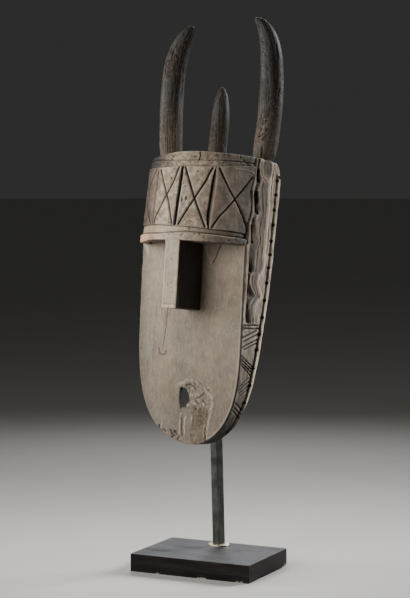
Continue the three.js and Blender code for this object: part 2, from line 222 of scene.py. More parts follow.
def put_mesh(name, points, quads, triangles=None, **traits):
    """Makes the object: loose points dropped, faces turned outwards, one value of each trait
    a point, and edges over the sharp angle left sharp."""
    triangles = np.zeros((0, 3), int) if triangles is None else triangles
    used = np.zeros(len(points), bool)
    used[quads.ravel()] = True
    used[triangles.ravel()] = True
    number = np.cumsum(used) - 1
    points, quads, triangles = points[used] * MM, number[quads], number[triangles]
    quads, triangles = turned_out(points, quads, triangles)
    corners = np.concatenate([quads.ravel(), triangles.ravel()])
    starts = np.concatenate([np.arange(len(quads)) * 4,
                             len(quads) * 4 + np.arange(len(triangles)) * 3])
    mesh = bpy.data.meshes.new(name)
    mesh.vertices.add(len(points))
    mesh.vertices.foreach_set("co", points.astype(np.float32).ravel())
    mesh.loops.add(len(corners))
    mesh.loops.foreach_set("vertex_index", corners.astype(np.int32))
    mesh.polygons.add(len(starts))
    mesh.polygons.foreach_set("loop_start", starts.astype(np.int32))
    mesh.update(calc_edges=True)
    mesh.validate()
    mesh.shade_smooth()
    mesh.set_sharp_from_angle(angle=math.radians(SHARP_ANGLE))
    for trait, values in traits.items():
        layer = mesh.attributes.new(trait, "FLOAT", "POINT")
        layer.data.foreach_set("value", np.asarray(values, np.float32).ravel()[used])
    made = bpy.data.objects.new(name, mesh)
    bpy.context.scene.collection.objects.link(made)
    print(name, len(points), "points,", len(quads) * 2 + len(triangles), "triangles")
    return made


def wall_faces(kept):
    """Quads of two matching grids (the second one numbered after the first) over the kept
    cells, and a quad across the wall at every edge where a kept cell meets none."""
    rows, columns = kept.shape[0] + 1, kept.shape[1] + 1
    index = np.arange(rows * columns).reshape(rows, columns)
    a, b, c, d = index[:-1, :-1], index[:-1, 1:], index[1:, 1:], index[1:, :-1]
    front = np.stack([a, b, c, d], -1)[kept]
    faces = [front, front[:, ::-1] + rows * columns]
    ringed = np.pad(kept, 1)
    sides = [(a, b, ringed[:-2, 1:-1]), (b, c, ringed[1:-1, 2:]),
             (c, d, ringed[2:, 1:-1]), (d, a, ringed[1:-1, :-2])]
    for start, end, neighbour in sides:
        open_edge = kept & ~neighbour
        p, q = start[open_edge], end[open_edge]
        faces.append(np.stack([q, p, p + rows * columns, q + rows * columns], -1))
    return np.concatenate(faces)


def put_wall(name, outer, inner, kept=None, **traits):
    """A closed wall from two grids of points; each trait is a pair of grids."""
    kept = np.ones((outer.shape[0] - 1, outer.shape[1] - 1), bool) if kept is None else kept
    points = np.concatenate([outer.reshape(-1, 3), inner.reshape(-1, 3)])
    both = {trait: np.concatenate([np.ravel(one), np.ravel(two)])
            for trait, (one, two) in traits.items()}
    return put_mesh(name, points, wall_faces(kept), **both)


def ring_quads(count, around):
    """Numbers of the points of stacked loops, of each one's neighbour round its loop, and the
    quads from each loop to the next."""
    index = np.arange(count * around).reshape(count, around)
    after = np.roll(index, -1, axis=1)
    quads = np.stack([index[:-1], after[:-1], after[1:], index[1:]], -1).reshape(-1, 4)
    return index, after, quads


def put_rings(name, rings, closed_along=False, **traits):
    """Closed loops of points (rings x around) joined one to the next, with a fan over each
    end, or joined last to first."""
    count, around = rings.shape[:2]
    index, after, quads = ring_quads(count, around)
    if closed_along:
        up, up_after = np.roll(index, -1, axis=0), np.roll(after, -1, axis=0)
        quads = np.stack([index, after, up_after, up], -1).reshape(-1, 4)
        return put_mesh(name, rings.reshape(-1, 3), quads, **traits)
    low, high = count * around, count * around + 1
    fans = [np.stack([np.full(around, low), after[0], index[0]], -1),
            np.stack([np.full(around, high), index[-1], after[-1]], -1)]
    ends = np.stack([rings[0].mean(axis=0), rings[-1].mean(axis=0)])
    points = np.concatenate([rings.reshape(-1, 3), ends])
    traits = {trait: np.concatenate([np.ravel(grid), [np.mean(grid[0]), np.mean(grid[-1])]])
              for trait, grid in traits.items()}
    return put_mesh(name, points, quads, np.concatenate(fans), **traits)


print("faces of a wall of one cell:", len(wall_faces(np.ones((1, 1), bool))))

# %% [markdown]
# ## The mask's own frame
# The mask leans back on its post. It is easier to think of it upright: x across, b back from
# the face panel, t up from the chin. One function leans a point over and stands it in place.
# Turning the finished objects would do the same, but they have to stay unturned at the origin.

# %% Mask frame
MASK_PLACE = (-10.0, -80.5, 233.8)
MASK_LEAN = math.radians(6.64)
WALL = 12.0
TOP = 502.0
CEILING = 490.0
LIP_BOTTOM = 346.5
SHELF_TOP = 358.5
CHIN_X = 18.0
LEFT = dict(sign=-1, reach=117.0, height=241.0, square=3.34, round=2.24)
RIGHT = dict(sign=1, reach=81.2, height=183.0, square=3.11, round=1.85)
BACK_B = (47, 48, 53, 64, 84, 102, 114, 123, 129, 131, 127.5, 113)
BACK_T = (-40, 0, 45, 116, 186, 258, 330, 402, 452, 477, 490, 502)
FOREHEAD_LOW = dict(t=350, reach=96, back=18, depth=109)
FOREHEAD_HIGH = dict(t=510, reach=100.5, back=51, depth=118)
HEIGHTS = np.linspace(-60, 560, 1241)


def leaned(x, b, t):
    """Mask frame to the room: turned by the lean about x, then moved to its place."""
    across, back, up = np.broadcast_arrays(x, b, t)
    cos, sin = math.cos(MASK_LEAN), math.sin(MASK_LEAN)
    return np.stack([across, back * cos + up * sin, up * cos - back * sin], -1) + MASK_PLACE


def side_x(t, side):
    """x of the outline: reach * (1 - (1 - t/height)^square)^(1/round) out from the chin."""
    down = np.clip(1 - t / side["height"], 0, 1) ** side["square"]
    return CHIN_X + side["sign"] * side["reach"] * (1 - down) ** (1 / side["round"])


def outline_t(x):
    """Lowest height of the outline at x, the formula of side_x solved for t."""
    result = np.zeros(np.shape(x))
    for side in (LEFT, RIGHT):
        out = np.clip((x - CHIN_X) * side["sign"] / side["reach"], 0, 1)
        low = side["height"] * (1 - (1 - out ** side["round"]) ** (1 / side["square"]))
        result = np.where((x - CHIN_X) * side["sign"] >= 0, low, result)
    return result


def edge_distance(x, t):
    """How far a panel point is from the outline: with h across to it and v down to it,
    h*v / sqrt(h^2 + v^2)."""
    h = np.where(x < CHIN_X, x - side_x(t, LEFT), side_x(t, RIGHT) - x)
    v = np.maximum(t - outline_t(x), 0)
    return h * v / np.sqrt(h * h + v * v + 1e-9)


def smooth_table(t, t_knots, values, blur):
    """Straight lines through the knots, rounded by a sliding average."""
    table = slid(np.interp(HEIGHTS, t_knots, values), int(blur * 4) + 3)
    return np.interp(t, HEIGHTS, table)


def back_at(t):
    """Depth of the back rim at a height."""
    return smooth_table(t, BACK_T, BACK_B, 6)


def forehead_at(t):
    """Half ellipse of the forehead at a height: its reach, its back line and its depth."""
    low, high = FOREHEAD_LOW, FOREHEAD_HIGH
    share = (t - low["t"]) / (high["t"] - low["t"])
    return [low[size] + (high[size] - low[size]) * share for size in ("reach", "back", "depth")]


GAP_T = (340, 370, 387, 400, 418, 443, 457, 470, 502)
GAP_B = (13, 15, 15, 24, 26, 22, 25, 31, 37)


def gap_at(t):
    """Depth of the dark cut where the forehead and panel edge end and the side begins."""
    return smooth_table(t, GAP_T, GAP_B, 8)


print("rim depth at 0, 250, 477:", np.round(back_at(np.array([0, 250, 477.0])), 1))

# %% [markdown]
# ## Worn wood at the mouth
# Below the nose the face has a small hole, with worn and flaking wood from there down to the
# chin and a split at its end. It could be sculpted by hand. Here each mark is a short line or
# a patch, and the depth at a point follows from how far it is from each, so a mark can be
# moved by changing its own line.

# %% Worn mouth
MOUTH = [(-12.1, 94), (-10.8, 97.2), (-6.8, 96.7), (-2.9, 95.7), (0.2, 92), (2.5, 88.7),
         (4, 82.7), (5.2, 75.8), (4.2, 72.3), (2.1, 69.6), (0.3, 66.9), (-0.7, 63.4), (-3, 63.2),
         (-5, 64.8), (-7.2, 63), (-9.4, 60.6), (-11.4, 68), (-13, 78.3), (-13.1, 87), (-12.1, 94)]
ARCH = [(-18, 100), (-10, 105), (-3.4, 105.8), (-1.8, 110), (3.9, 112), (9.8, 110.5), (22, 105.5),
        (34, 98), (43.5, 89), (48.9, 81.7), (52.2, 74.9), (51.6, 68), (50.2, 59.3), (48.3, 51.5),
        (44.8, 36.6), (43.5, 24.5), (43, 9)]
WORN_SPOT = (19.0, 84.0, 33.0, 26.0)
PATCH_T = (5, 25, 52, 67)
PATCH_LEFT = (16, 14.7, 13.0, 12.3)
PATCH_RIGHT = (40, 41.5, 45.8, 43)
CRACK = [(40.6, 29.5), (40.6, 19.2), (40, 12.2), (40.4, 5.4), (40.6, 0)]
LIGHT_LINES = [[(37.7, 36.2), (37.3, 25.9), (36.8, 13.8)], [(-9.2, 52.5), (-9, 31.7), (-8.6, 16.1)],
               [(0, 44.3), (-0.3, 32.2), (1.2, 16.7)], [(3.7, 48), (0.2, 40.9), (1.6, 34)],
               [(14.1, 52.1), (12.7, 43.3)]]
DARK_LINES = [[(-6.2, 44), (-5, 30.2), (-3.6, 12.9)], [(20.2, 80.1), (26.8, 83), (34.2, 88.6)],
              [(18.5, 75.7), (23.6, 71.6)], [(33, 75.6), (39.1, 69)],
              [(-1.3, 101.5), (6.3, 103.6), (14.2, 100.5), (18.1, 93.8)],
              [(-24.5, 15.1), (-16.1, 20.8)]]
LUMPS = [(4.2, 90.5, 3.0), (4.1, 68, 4.0), (18.8, 70.5, 3.5), (34.2, 70.5, 3.5), (50.3, 74.8, 3.0),
         (50, 62.8, 3.0), (-44, 31, 2.2)]
PANEL_CHIPS = [[(-49, 30), (-47.5, 25)], [(-40, 22.5), (-36, 19.5)], [(-28, 22), (-24, 18)],
               [(-18, 20), (-14, 17)], [(-23, 10), (-19, 14)], [(-13, 7), (-9.5, 12)]]


def nearest(x, t, lines, half):
    """Groove height 0-1 of the nearest of several chains of lines."""
    return np.max([groove(to_lines(x, t, line), half) for line in lines], axis=0)


def worn_mouth(x, t, points):
    """Depth, brown, rubbed and dark of the worn wood round the mouth and down to the chin."""
    x, t = x + 1.3 * rough(points, 6, 3, 21), t + 1.3 * rough(points, 6, 3, 22)
    middle_x, middle_t, half_x, half_t = WORN_SPOT
    out = np.hypot((x - middle_x) / half_x, (t - middle_t) / half_t)
    worn = (1 - step(out, 0.82, 1.05)) * step(x, -4, 2)
    lumps = rough(points, 7, 2, 11)
    strokes = np.abs(rough(points, (3.2, 3.2, 6), 2, 12))
    arch = groove(to_lines(x, t, ARCH), 3.6)
    left, right = np.interp(t, PATCH_T, PATCH_LEFT), np.interp(t, PATCH_T, PATCH_RIGHT)
    ragged = x + 4.5 * rough(points, (5, 5, 9), 3, 19)
    patch = step(ragged, left - 2.5, left + 3.5) * (1 - step(x, right - 1.5, right + 1.5))
    patch = patch * (1 - step(t, 61, 68))
    light = nearest(x, t, LIGHT_LINES, 1.6)
    marks = nearest(x, t, DARK_LINES, 1.6)
    bumps = np.max([groove(np.hypot(x - u, t - v), size) for u, v, size in LUMPS], axis=0)
    split = groove(to_lines(x, t, CRACK) / np.interp(t, (0, 10, 30), (1.9, 1.6, 0.7)), 1.0)
    pits = nearest(x, t, PANEL_CHIPS, 2.0)

    crust = rough(points, 4.2, 3, 16)
    depth = worn * (0.7 + 0.7 * lumps + 0.6 * strokes + 0.55 * crust) - 0.7 * arch
    depth += patch * (0.6 + 0.3 * rough(points, (3, 3, 14), 2, 13) + 0.5 * crust)
    depth += 1.1 * marks - 0.5 * light - 1.0 * bumps + 6.0 * split + 1.7 * pits
    mottled = 0.15 + 0.42 * step(rough(points, (5, 5, 8), 3, 14), -0.4, 0.5)
    brown = np.maximum(patch * mottled * (0.5 + 0.5 * step(t, 10, 30)), 0.4 * pits)
    brown = np.maximum(brown, worn * step(lumps, 0.1, 0.8) * 0.28)
    crumbs = np.maximum(worn, 0.8 * patch) * step(-crust, 0.25, 0.8)
    arch = arch * step(rough(points, 5, 3, 18), -0.7, 0.2)
    rubbed_and_highlight = np.max([0.6 * arch, 0.8 * light, 0.8 * bumps, 0.5 * crumbs], axis=0) * (1 - split)
    near_arch = groove(to_lines(x, t, ARCH) - 3.4, 1.8) * worn
    dark = np.max([split, 0.36 * marks, 0.25 * pits, 0.26 * worn * step(strokes, 0.4, 0.8),
                   0.42 * np.maximum(worn, patch) * step(crust, 0.35, 0.9), 0.22 * near_arch,
                   0.22 * patch], axis=0)
    return depth, brown, rubbed_and_highlight, dark


mouth_width = max(x for x, t in MOUTH) - min(x for x, t in MOUTH)
print("mouth hole", round(mouth_width, 1), "mm wide")

# %% [markdown]
# ## Relief of the face panel
# The face is a flat slab with a rounded chin. Its front is a height field: a soft edge, the
# unevenness of hand work, the angles cut for the eyes, two scratches and the chips along the
# chin. A bump map would draw these too, but it would leave the outline straight where the
# chin is chipped, so they are real depth.

# %% Panel relief
NOSE_X = 4.8
EYE_OUTER = [(51.5, 344.2), (48.9, 339), (44.8, 326.8), (40.5, 318), (37.4, 314.6)]
EYE_INNER = [(37.4, 314.6), (34.9, 314.9), (31.7, 320.4), (27.2, 331.6), (23.7, 343)]
LONG_SCRATCH = [(-44, 233.8), (-44.7, 212.8), (-47.1, 186.5), (-49.9, 167.1)]
HOOK_SCRATCH = [(-57.6, 164.2), (-55.1, 153.8), (-49.1, 152.3), (-43.3, 154.3), (-43.6, 159.5)]
EDGE_LINE = [(79, 345), (83, 330), (92, 312)]
WHITE_CORNER = [(-94, 346), (-90.5, 336), (-89.5, 325)]
NOTCH = (-44.0, 18.5, 6.0)
EDGE_ROUND = 1.8


def chin_notch(x, t):
    """Depth of the one large chip on the chin's edge, round in plan."""
    middle_x, middle_t, size = NOTCH
    return 3.5 * step(-np.hypot(x - middle_x, t - middle_t), -size, -size / 3)


def panel_relief(x, t):
    """Depth into the wood at a panel point, and what colours it: a sum of soft edges, grooves
    and hollows, each a smooth bump of the distance to its own line or patch."""
    points = np.stack([x, np.zeros_like(x), t], -1)
    edge = edge_distance(x, t)
    depth, brown, rubbed_and_highlight, dark = worn_mouth(x, t, points)
    depth += rounded_off(EDGE_ROUND - edge, EDGE_ROUND)
    depth += 0.45 * rough(points, 46, 2, 3) + 0.14 * rough(points, (8, 8, 14), 2, 5)
    depth += 0.05 * rough(points, (1.9, 1.9, 50), 2, 7) + 0.06 * rough(points, 2.4, 2, 8)
    depth += chin_notch(x, t)

    chin = (1 - step(edge, 4, 13)) * (1 - step(t, 20, 38)) * (1 - step(x, 20, 34))
    chips = np.clip(rough(points, (9, 9, 6), 3, 17) - 0.1, 0, 1)
    depth += chin * (0.2 + 2.6 * chips)

    eyes = 0.0
    for turned_x in (x, 2 * NOSE_X - x):
        outer = groove(to_lines(turned_x, t, EYE_OUTER), 1.6)
        inner = groove(to_lines(turned_x, t, EYE_INNER), 2.0)
        eyes = eyes + 0.9 * outer + 0.6 * inner
        dark = np.maximum(dark, 0.55 * outer)
        beside = groove(to_lines(turned_x - 1.6, t, EYE_OUTER[1:4]), 1.2)
        rubbed_and_highlight = np.maximum(rubbed_and_highlight, np.maximum(inner, 0.3 * beside))
    depth += eyes
    scratch = nearest(x, t, [LONG_SCRATCH, HOOK_SCRATCH], 1.1)
    hook = groove(to_lines(x, t, HOOK_SCRATCH[2:]), 1.3)
    depth += 0.7 * scratch
    dark = np.maximum(dark, np.maximum(0.4 * scratch, 0.6 * hook))

    white = groove(to_lines(x, t, WHITE_CORNER), 3.6) * step(t, 322, 336)
    right = step(x, 30, 50)
    rim = band(edge, 2.0, 3.6, 0.9) * right
    # Painted shade: a dark line along the panel's right edge, in the groove where it meets the
    # side.
    dark = np.maximum(dark, 0.65 * (1 - step(edge, 0.7, 1.7)) * right)
    rubbed_and_highlight = np.max([rubbed_and_highlight, white, 0.45 * rim, 0.35 * groove(to_lines(x, t, EDGE_LINE), 1.5)],
                    axis=0)
    streaks = step(rough(points, (2.6, 2.6, 34), 2, 15), 0.1, 0.6)
    streaks = streaks * band(x, -78, -50, 14) * band(t, 90, 225, 30)
    brown = np.max([brown, 0.35 * streaks, chin * chips * 0.6], axis=0)
    dark = np.maximum(dark, 0.3 * (1 - step(edge, 0.4, 1.8)) * (1 - step(x, 0, 20)))
    # Painted shade: the wood at the mouth's border is darkened so that the wall of the hole looks
    # shadowed.
    dark = np.maximum(dark, 1 - step(to_lines(x, t, MOUTH), 0.2, 1.7))
    return depth, brown, rubbed_and_highlight, dark


print("eye mark", round(EYE_OUTER[0][1] - EYE_OUTER[-1][1], 1), "mm tall")

# %% [markdown]
# ## Cutting a hole in a grid
# The mouth and the cord holes go right through the wood. A Boolean modifier could cut them.
# Leaving out the cells inside each hole and drawing the points at its border onto its edge
# keeps the even grid round it, and the wall builder then lines the hole by itself.

# %% Holes in a grid
def inside(u, v, places):
    """Whether points lie within a closed chain of places, by counting crossings."""
    crossed = np.zeros(np.shape(u), bool)
    for (au, av), (bu, bv) in zip(places[:-1], places[1:]):
        if av != bv:
            crossed ^= ((av > v) != (bv > v)) & (u < (bu - au) * (v - av) / (bv - av) + au)
    return crossed


def pulled_to(u, v, places):
    """The nearest point to (u, v) on a chain of lines."""
    best = np.full(np.shape(u), 1e9)
    best_u, best_v = u.copy(), v.copy()
    for (au, av), (bu, bv) in zip(places[:-1], places[1:]):
        du, dv = bu - au, bv - av
        k = np.clip(((u - au) * du + (v - av) * dv) / (du * du + dv * dv + 1e-12), 0, 1)
        near_u, near_v = au + k * du, av + k * dv
        gap = np.hypot(u - near_u, v - near_v)
        best_u, best_v = np.where(gap < best, near_u, best_u), np.where(gap < best, near_v, best_v)
        best = np.minimum(best, gap)
    return best_u, best_v


def hole_border(kept):
    """Grid points that touch both a kept cell and a cut one."""
    touch_kept = np.zeros((kept.shape[0] + 1, kept.shape[1] + 1), bool)
    touch_cut = touch_kept.copy()
    for down, along in product((0, 1), repeat=2):
        rows = slice(down, down + kept.shape[0])
        columns = slice(along, along + kept.shape[1])
        touch_kept[rows, columns] |= kept
        touch_cut[rows, columns] |= ~kept
    return touch_kept & touch_cut


one_cut = np.ones((3, 3), bool)
one_cut[1, 1] = False
print("border of one cut cell:", int(hole_border(one_cut).sum()), "points")

# %% [markdown]
# ## Grid of the panel
# Rows run up the panel from the chin, closer together low down where the outline turns fast,
# and every row has the same number of points from edge to edge. So the edge is followed
# exactly, which a square grid trimmed to the outline would not do.

# %% Panel grid
PANEL_TOP = 353.0
PANEL_COLUMNS = 140
STRIP_T = (238, 262)
PANEL_BACK = 11.0

panel_t = spaced(0.04, PANEL_TOP, lambda t: np.clip(0.08 + 0.05 * t, 0, 1.32))
share = np.linspace(0, 1, PANEL_COLUMNS + 1)
left_x = side_x(panel_t, LEFT)
right_x = side_x(panel_t, RIGHT) - 1.6 * step(panel_t, *STRIP_T)
panel_x = left_x[:, None] + (right_x - left_x)[:, None] * share
panel_h = np.broadcast_to(panel_t[:, None], panel_x.shape).copy()
middle = [(grid[:-1, :-1] + grid[1:, 1:]) / 2 for grid in (panel_x, panel_h)]
panel_kept = ~inside(middle[0], middle[1], MOUTH)
border = hole_border(panel_kept)
panel_x[border], panel_h[border] = pulled_to(panel_x[border], panel_h[border], MOUTH)
panel_depth, panel_brown, panel_rubbed, panel_dark = panel_relief(panel_x, panel_h)
right_edge = right_x[:, None] - panel_x
panel_depth += 1.0 * (1 - step(right_edge, 0, 1.4)) * step(panel_h, *STRIP_T)
panel_inner = PANEL_BACK - 0.5 * rough(leaned(panel_x, 0, panel_h), (26, 26, 34), 2, 23)
panel_front = leaned(panel_x, panel_depth, panel_h)
panel_rear = leaned(panel_x, panel_inner, panel_h)
print("panel grid", panel_x.shape, "deepest", round(float(panel_depth.max()), 1), "mm")

# %% [markdown]
# ## What colours the wood
# Every piece of the mask carries the same four traits: how pale its surface is, how brown,
# how rubbed and how dark. Dirt gathers where the relief lies lower than its surroundings,
# and rubbing shows where it stands higher. In places the traits also carry painted light:
# the pale and dark shares hold painted shade, and the rubbed share holds painted
# highlights. Painted textures could hold this, but numbers on the points follow the relief
# exactly and need no picture.

# %% Wood traits
def relieved(relief, rounds=5, scale=0.7):
    """Hollow and raised shares of a height grid, from its difference to a smoothed copy."""
    over = (relief - level(relief, rounds)) / scale
    return np.clip(-over, 0, 1), np.clip(over, 0, 1)


def traits(pale, brown=0.0, rubbed_and_highlight=0.0, dark=0.0, shape=None):
    """One grid of each trait, clipped to 0-1."""
    shape = np.shape(pale) if shape is None else shape
    grids = dict(pale=pale, brown=brown, rubbed_and_highlight=rubbed_and_highlight, dark=dark)
    return {name: np.clip(np.broadcast_to(grid, shape), 0, 1).astype(float)
            for name, grid in grids.items()}


def paired(outer, inner):
    """Traits of the outer and the inner grid, side by side."""
    return {name: (outer[name], inner[name]) for name in outer}


panel_low, panel_high = relieved(-panel_depth)
# Painted shade: the pale share is lowered towards the right of the panel, along its left edge and
# towards the bottom, where the light falls off.
shaded = 0.04 + 0.22 * step(panel_x, -62, -20) + 0.17 * (1 - step(panel_h, 40, 170))
shaded += 0.38 * (1 - step(panel_x, -104, -74)) + 0.10 * (1 - step(panel_h, 230, 300))
shaded += 0.16 * (1 - step(panel_x, -70, -30)) * (1 - step(panel_h, 110, 210))
front_traits = traits(1.0 - 0.12 * panel_brown - shaded, panel_brown,
                      panel_rubbed + 0.15 * panel_high, panel_dark + 0.5 * panel_low)
# The inside is darker wood; round the mouth it is darkened further as painted shade in the hole.
rear_dark_and_mouth_shade = 0.3 + 0.7 * (1 - step(to_lines(panel_x, panel_h, MOUTH), 2, 9))
rear_traits = traits(0.15, 0.25, 0, rear_dark_and_mouth_shade, panel_x.shape)
face = put_wall("mask_face", panel_front, panel_rear, panel_kept,
                **paired(front_traits, rear_traits))

# %% [markdown]
# ## Side walls
# A wall runs back from the panel all round: down one side, under the chin and up the other.
# A raised snake climbs it, with its head under the crown. It could be a curve with a bevel,
# laid on the wall. Here it is a profile from front to back whose places follow lines with
# height, so the hollows beside it are cut into the same wood.

# %% Snake on the sides
FRONT_RIDGE = [(211, 37), (218, 32), (228, 25), (238, 21), (247, 24), (254, 36), (261, 47),
               (268, 36), (278, 24), (288, 18), (297, 23), (303, 36), (321, 37), (340, 39),
               (350, 45), (360, 50), (373, 44), (383, 35), (393, 32), (402, 43), (412, 50),
               (422, 45), (433, 37), (446, 38), (457, 47), (468, 52), (478, 44), (490, 45)]
INNER_LINE = [(216, 40), (228, 33), (244, 34), (254, 46), (261, 53), (270, 43), (280, 33),
              (297, 32), (303, 42), (321, 45), (340, 48), (357, 58), (374, 53), (392, 57),
              (408, 64), (422, 60), (439, 56), (456, 58)]
REAR_RIDGE = [(215, 41), (223, 43), (236, 46), (245, 52), (252, 61), (260, 75), (268, 70),
              (277, 63), (285, 56), (297, 62), (309, 78), (318, 81), (330, 78), (350, 82),
              (371, 83), (406, 86), (424, 88), (451, 87), (472, 91), (496, 96)]
HOLLOW = [(212, 26), (233, 17), (248, 15), (261, 26), (282, 13), (305, 22), (329, 16), (358, 27),
          (385, 22), (410, 36), (434, 29), (458, 36), (475, 34)]
SLOTS = [[(37, 481), (40, 460)], [(32, 441), (36, 419), (39, 405)],
         [(24, 381), (26, 366), (29.5, 354)], [(18, 327), (20, 316), (25, 305)],
         [(14, 297), (15, 278), (20, 262)], [(25, 238), (29.6, 223), (34, 212)]]
SNAKE_HEAD = (70.0, 487.0, 20.0, 16.5)
SNAKE_TAIL = (209, 218)


def head_distance(b, t):
    """Distance from the middle of the snake's head, 1 on its oval outline."""
    middle_b, middle_t, half_b, half_t = SNAKE_HEAD
    return np.hypot((b - middle_b) / half_b, (t - middle_t) / half_t)


def snake_start(t):
    """Where the hollow before the snake begins, just ahead of the dark cut."""
    return np.maximum(12.5, gap_at(t) - 1)


def snake_relief(b, t):
    """Rise of the snake and its shares of painted shade in the hollow and slots, body and pale
    strand: a profile from front to back whose places wave with height, and above it the head,
    an oval with a rim and a dished middle."""
    front, inner, rear, hollow = (smooth_table(t, *zip(*line), 4)
                                  for line in (FRONT_RIDGE, INNER_LINE, REAR_RIDGE, HOLLOW))
    start = snake_start(t)
    places = [start, start + 1.5, hollow - 4, hollow, front - 3.5, front, inner, inner + 3,
              rear - 16, rear - 9, rear, rear + 2, rear + 7]
    rise = ladder(b, places, [0, -1.6, -1.9, -2.6, 2.2, 3.4, 0.0, 1.2, 0.9, 2.0, 2.9, 2.3, 0.4])
    slot = step(nearest(b, t, SLOTS, 3.2), 0.05, 0.5)
    rise -= 1.8 * slot
    out = head_distance(b, t)
    head = 2.6 * step(-out, -1.45, -1.12) - 1.2 * step(-out, -1.02, -0.6)
    over = step(-out, -1.6, -1.3)
    shown = step(t, *SNAKE_TAIL)
    clear = shown * (1 - over)
    rise = rise * clear + head * over
    # Painted shade: the hollow and the slots in front of the snake are darkened as if in shadow,
    # more below the forehead than beside it.
    shade = ladder(b, [start, start + 2, hollow - 3, hollow, front - 3, front - 1],
                   [0, 0.5, 0.6, 0.7, 0.6, 0]) * (1 - 0.6 * step(t, 345, 365))
    shade = np.maximum(shade, slot) * clear
    line = groove(b - inner, 2.4) * clear
    body = step(b, front - 2, front + 1) * (1 - step(b, rear - 14, rear - 9)) * shown
    strand = band(b, rear - 5, rear + 1, 1.8) * step(t, 235, 262)
    behind = groove(b - rear - 5.0, 2.8) * clear * step(t, 255, 285)
    beside = groove(b - rear - 9.0, 2.0) * clear * step(t, 275, 300)
    ridge = groove(b - front - 0.5, 3.0) * clear
    body = np.maximum(body * (1 - over), step(-out, -1.2, -1.0))
    rise = rise - 1.2 * behind + 0.6 * beside
    return rise, shade, np.maximum(line, behind), body, strand, np.maximum(ridge, 0.8 * beside)


print("snake's head", 2 * SNAKE_HEAD[2], "x", 2 * SNAKE_HEAD[3], "mm")

# %% [markdown]
# ## Hatching, cord groove and bead
# Below the snake lie short slanting cuts under two nearly level lines. Along the rear a groove
# for a cord runs with its holes and a rounded bead. A displacement picture could hold all
# this, but the groove and the bead follow the rear edge, so a formula needs little more than
# the distance from that edge.

# %% Height of the sides
CUTS = [((8.8, 188.3), (63.7, 202.4)), ((9.7, 180.6), (66, 195)), ((6.8, 171.1), (65, 185.8)),
        ((13.5, 166.9), (66, 180.4)), ((2.5, 157.2), (53.6, 138.5)), ((3.4, 151.2), (52.4, 134.1)),
        ((2, 146.9), (49.2, 129.7)), ((5, 141.8), (46.4, 124.4)), ((2, 98.5), (41.6, 119.1)),
        ((6.8, 96.2), (49.5, 114)), ((14, 91.5), (50, 107)), ((22, 88), (48, 101)),
        ((2, 78), (45, 63.1)), ((2, 70.1), (47, 54.8)), ((3.2, 64), (46, 49.2)),
        ((6.4, 208.8), (69, 211.3)), ((7, 203.7), (71.8, 205.8))]
GROOVE_INSETS = (12.6, 17.0)
BEAD_WIDTH = 12.2
BEAD_RISE = 2.5
HOLE_INSET = 15.0
HOLE_ACROSS = 3.8
HOLE_ALONG = 2.6
HOLE_HEIGHTS = (470, 445, 417.5, 390.5, 362, 337.5, 314.5, 287, 256, 225.5, 196.5, 168.5, 136,
                106, 75.5, 50.5, 25, 6)
NICK_T = 477.0
CORD_TOP = (478, 483)
RIM_ROUND = 3.2
TOP_ROUND = 4.0


def side_rise(x, b, t, inset, sign):
    """Height of the side's surface over the plain outline, and the share of each mark."""
    points = np.stack([x, b, t], -1)
    snake, shade, line, body, strand, ridge = snake_relief(b, t)
    cuts = nearest(b, t, CUTS, 2.0)
    strip_show = step(t, *STRIP_T) * (1 - step(t, 349, 356))
    strip = band(b, 3.2, 11.5, 1.2) * strip_show
    below = 1 - step(t, *CORD_TOP)
    cord = band(inset, *GROOVE_INSETS, 0.9) * below
    fade = step(t, 2, 110)
    across = np.clip(np.abs(inset - BEAD_WIDTH / 2) / (BEAD_WIDTH / 2 + 0.1), 0, 1)
    bead = BEAD_RISE * fade * np.sqrt(1 - across ** 2.6) * (inset < BEAD_WIDTH) * below
    shoulder = step(t, 479, 486) * step(b, 88, 98)
    rise = 0.2 + 1.9 * strip + snake * (1 - cord) * (1 - shoulder) + 1.2 * shoulder
    rise += bead - 2.4 * cord * step(t, -5, 60) - 2.0 * cuts
    rise -= rounded_off(RIM_ROUND - inset, RIM_ROUND)
    rise += 0.35 * rough(points, (3.4, 3.4, 34), 3, 31) + 0.3 * rough(points, 19, 2, 33)
    rise += 0.5 * body * rough(points, (6, 6, 12), 2, 34) + 0.35 * rough(points, (5, 5, 12), 2, 39)
    nick = band(t, NICK_T - 2.4, NICK_T + 2.0, 0.9) * band(inset, -1, 10, 1.5) * (sign > 0)
    rise -= 4.2 * nick
    front = step(-b, -4.3, -2.9) * (1 - step(t, 345, 352))
    rise -= 1.1 * front * (1 - strip_show)
    rise -= chin_notch(x, t) * (1 - step(b, 3, 10))
    rise -= rounded_off(t - (TOP - TOP_ROUND), TOP_ROUND)
    return rise, dict(shade=shade, line=line, body=body, strand=strand, ridge=ridge, cuts=cuts,
                      strip=strip, cord=cord, bead=bead, shoulder=shoulder, nick=nick)


print(len(CUTS), "cuts and", len(HOLE_HEIGHTS), "cord holes a side")
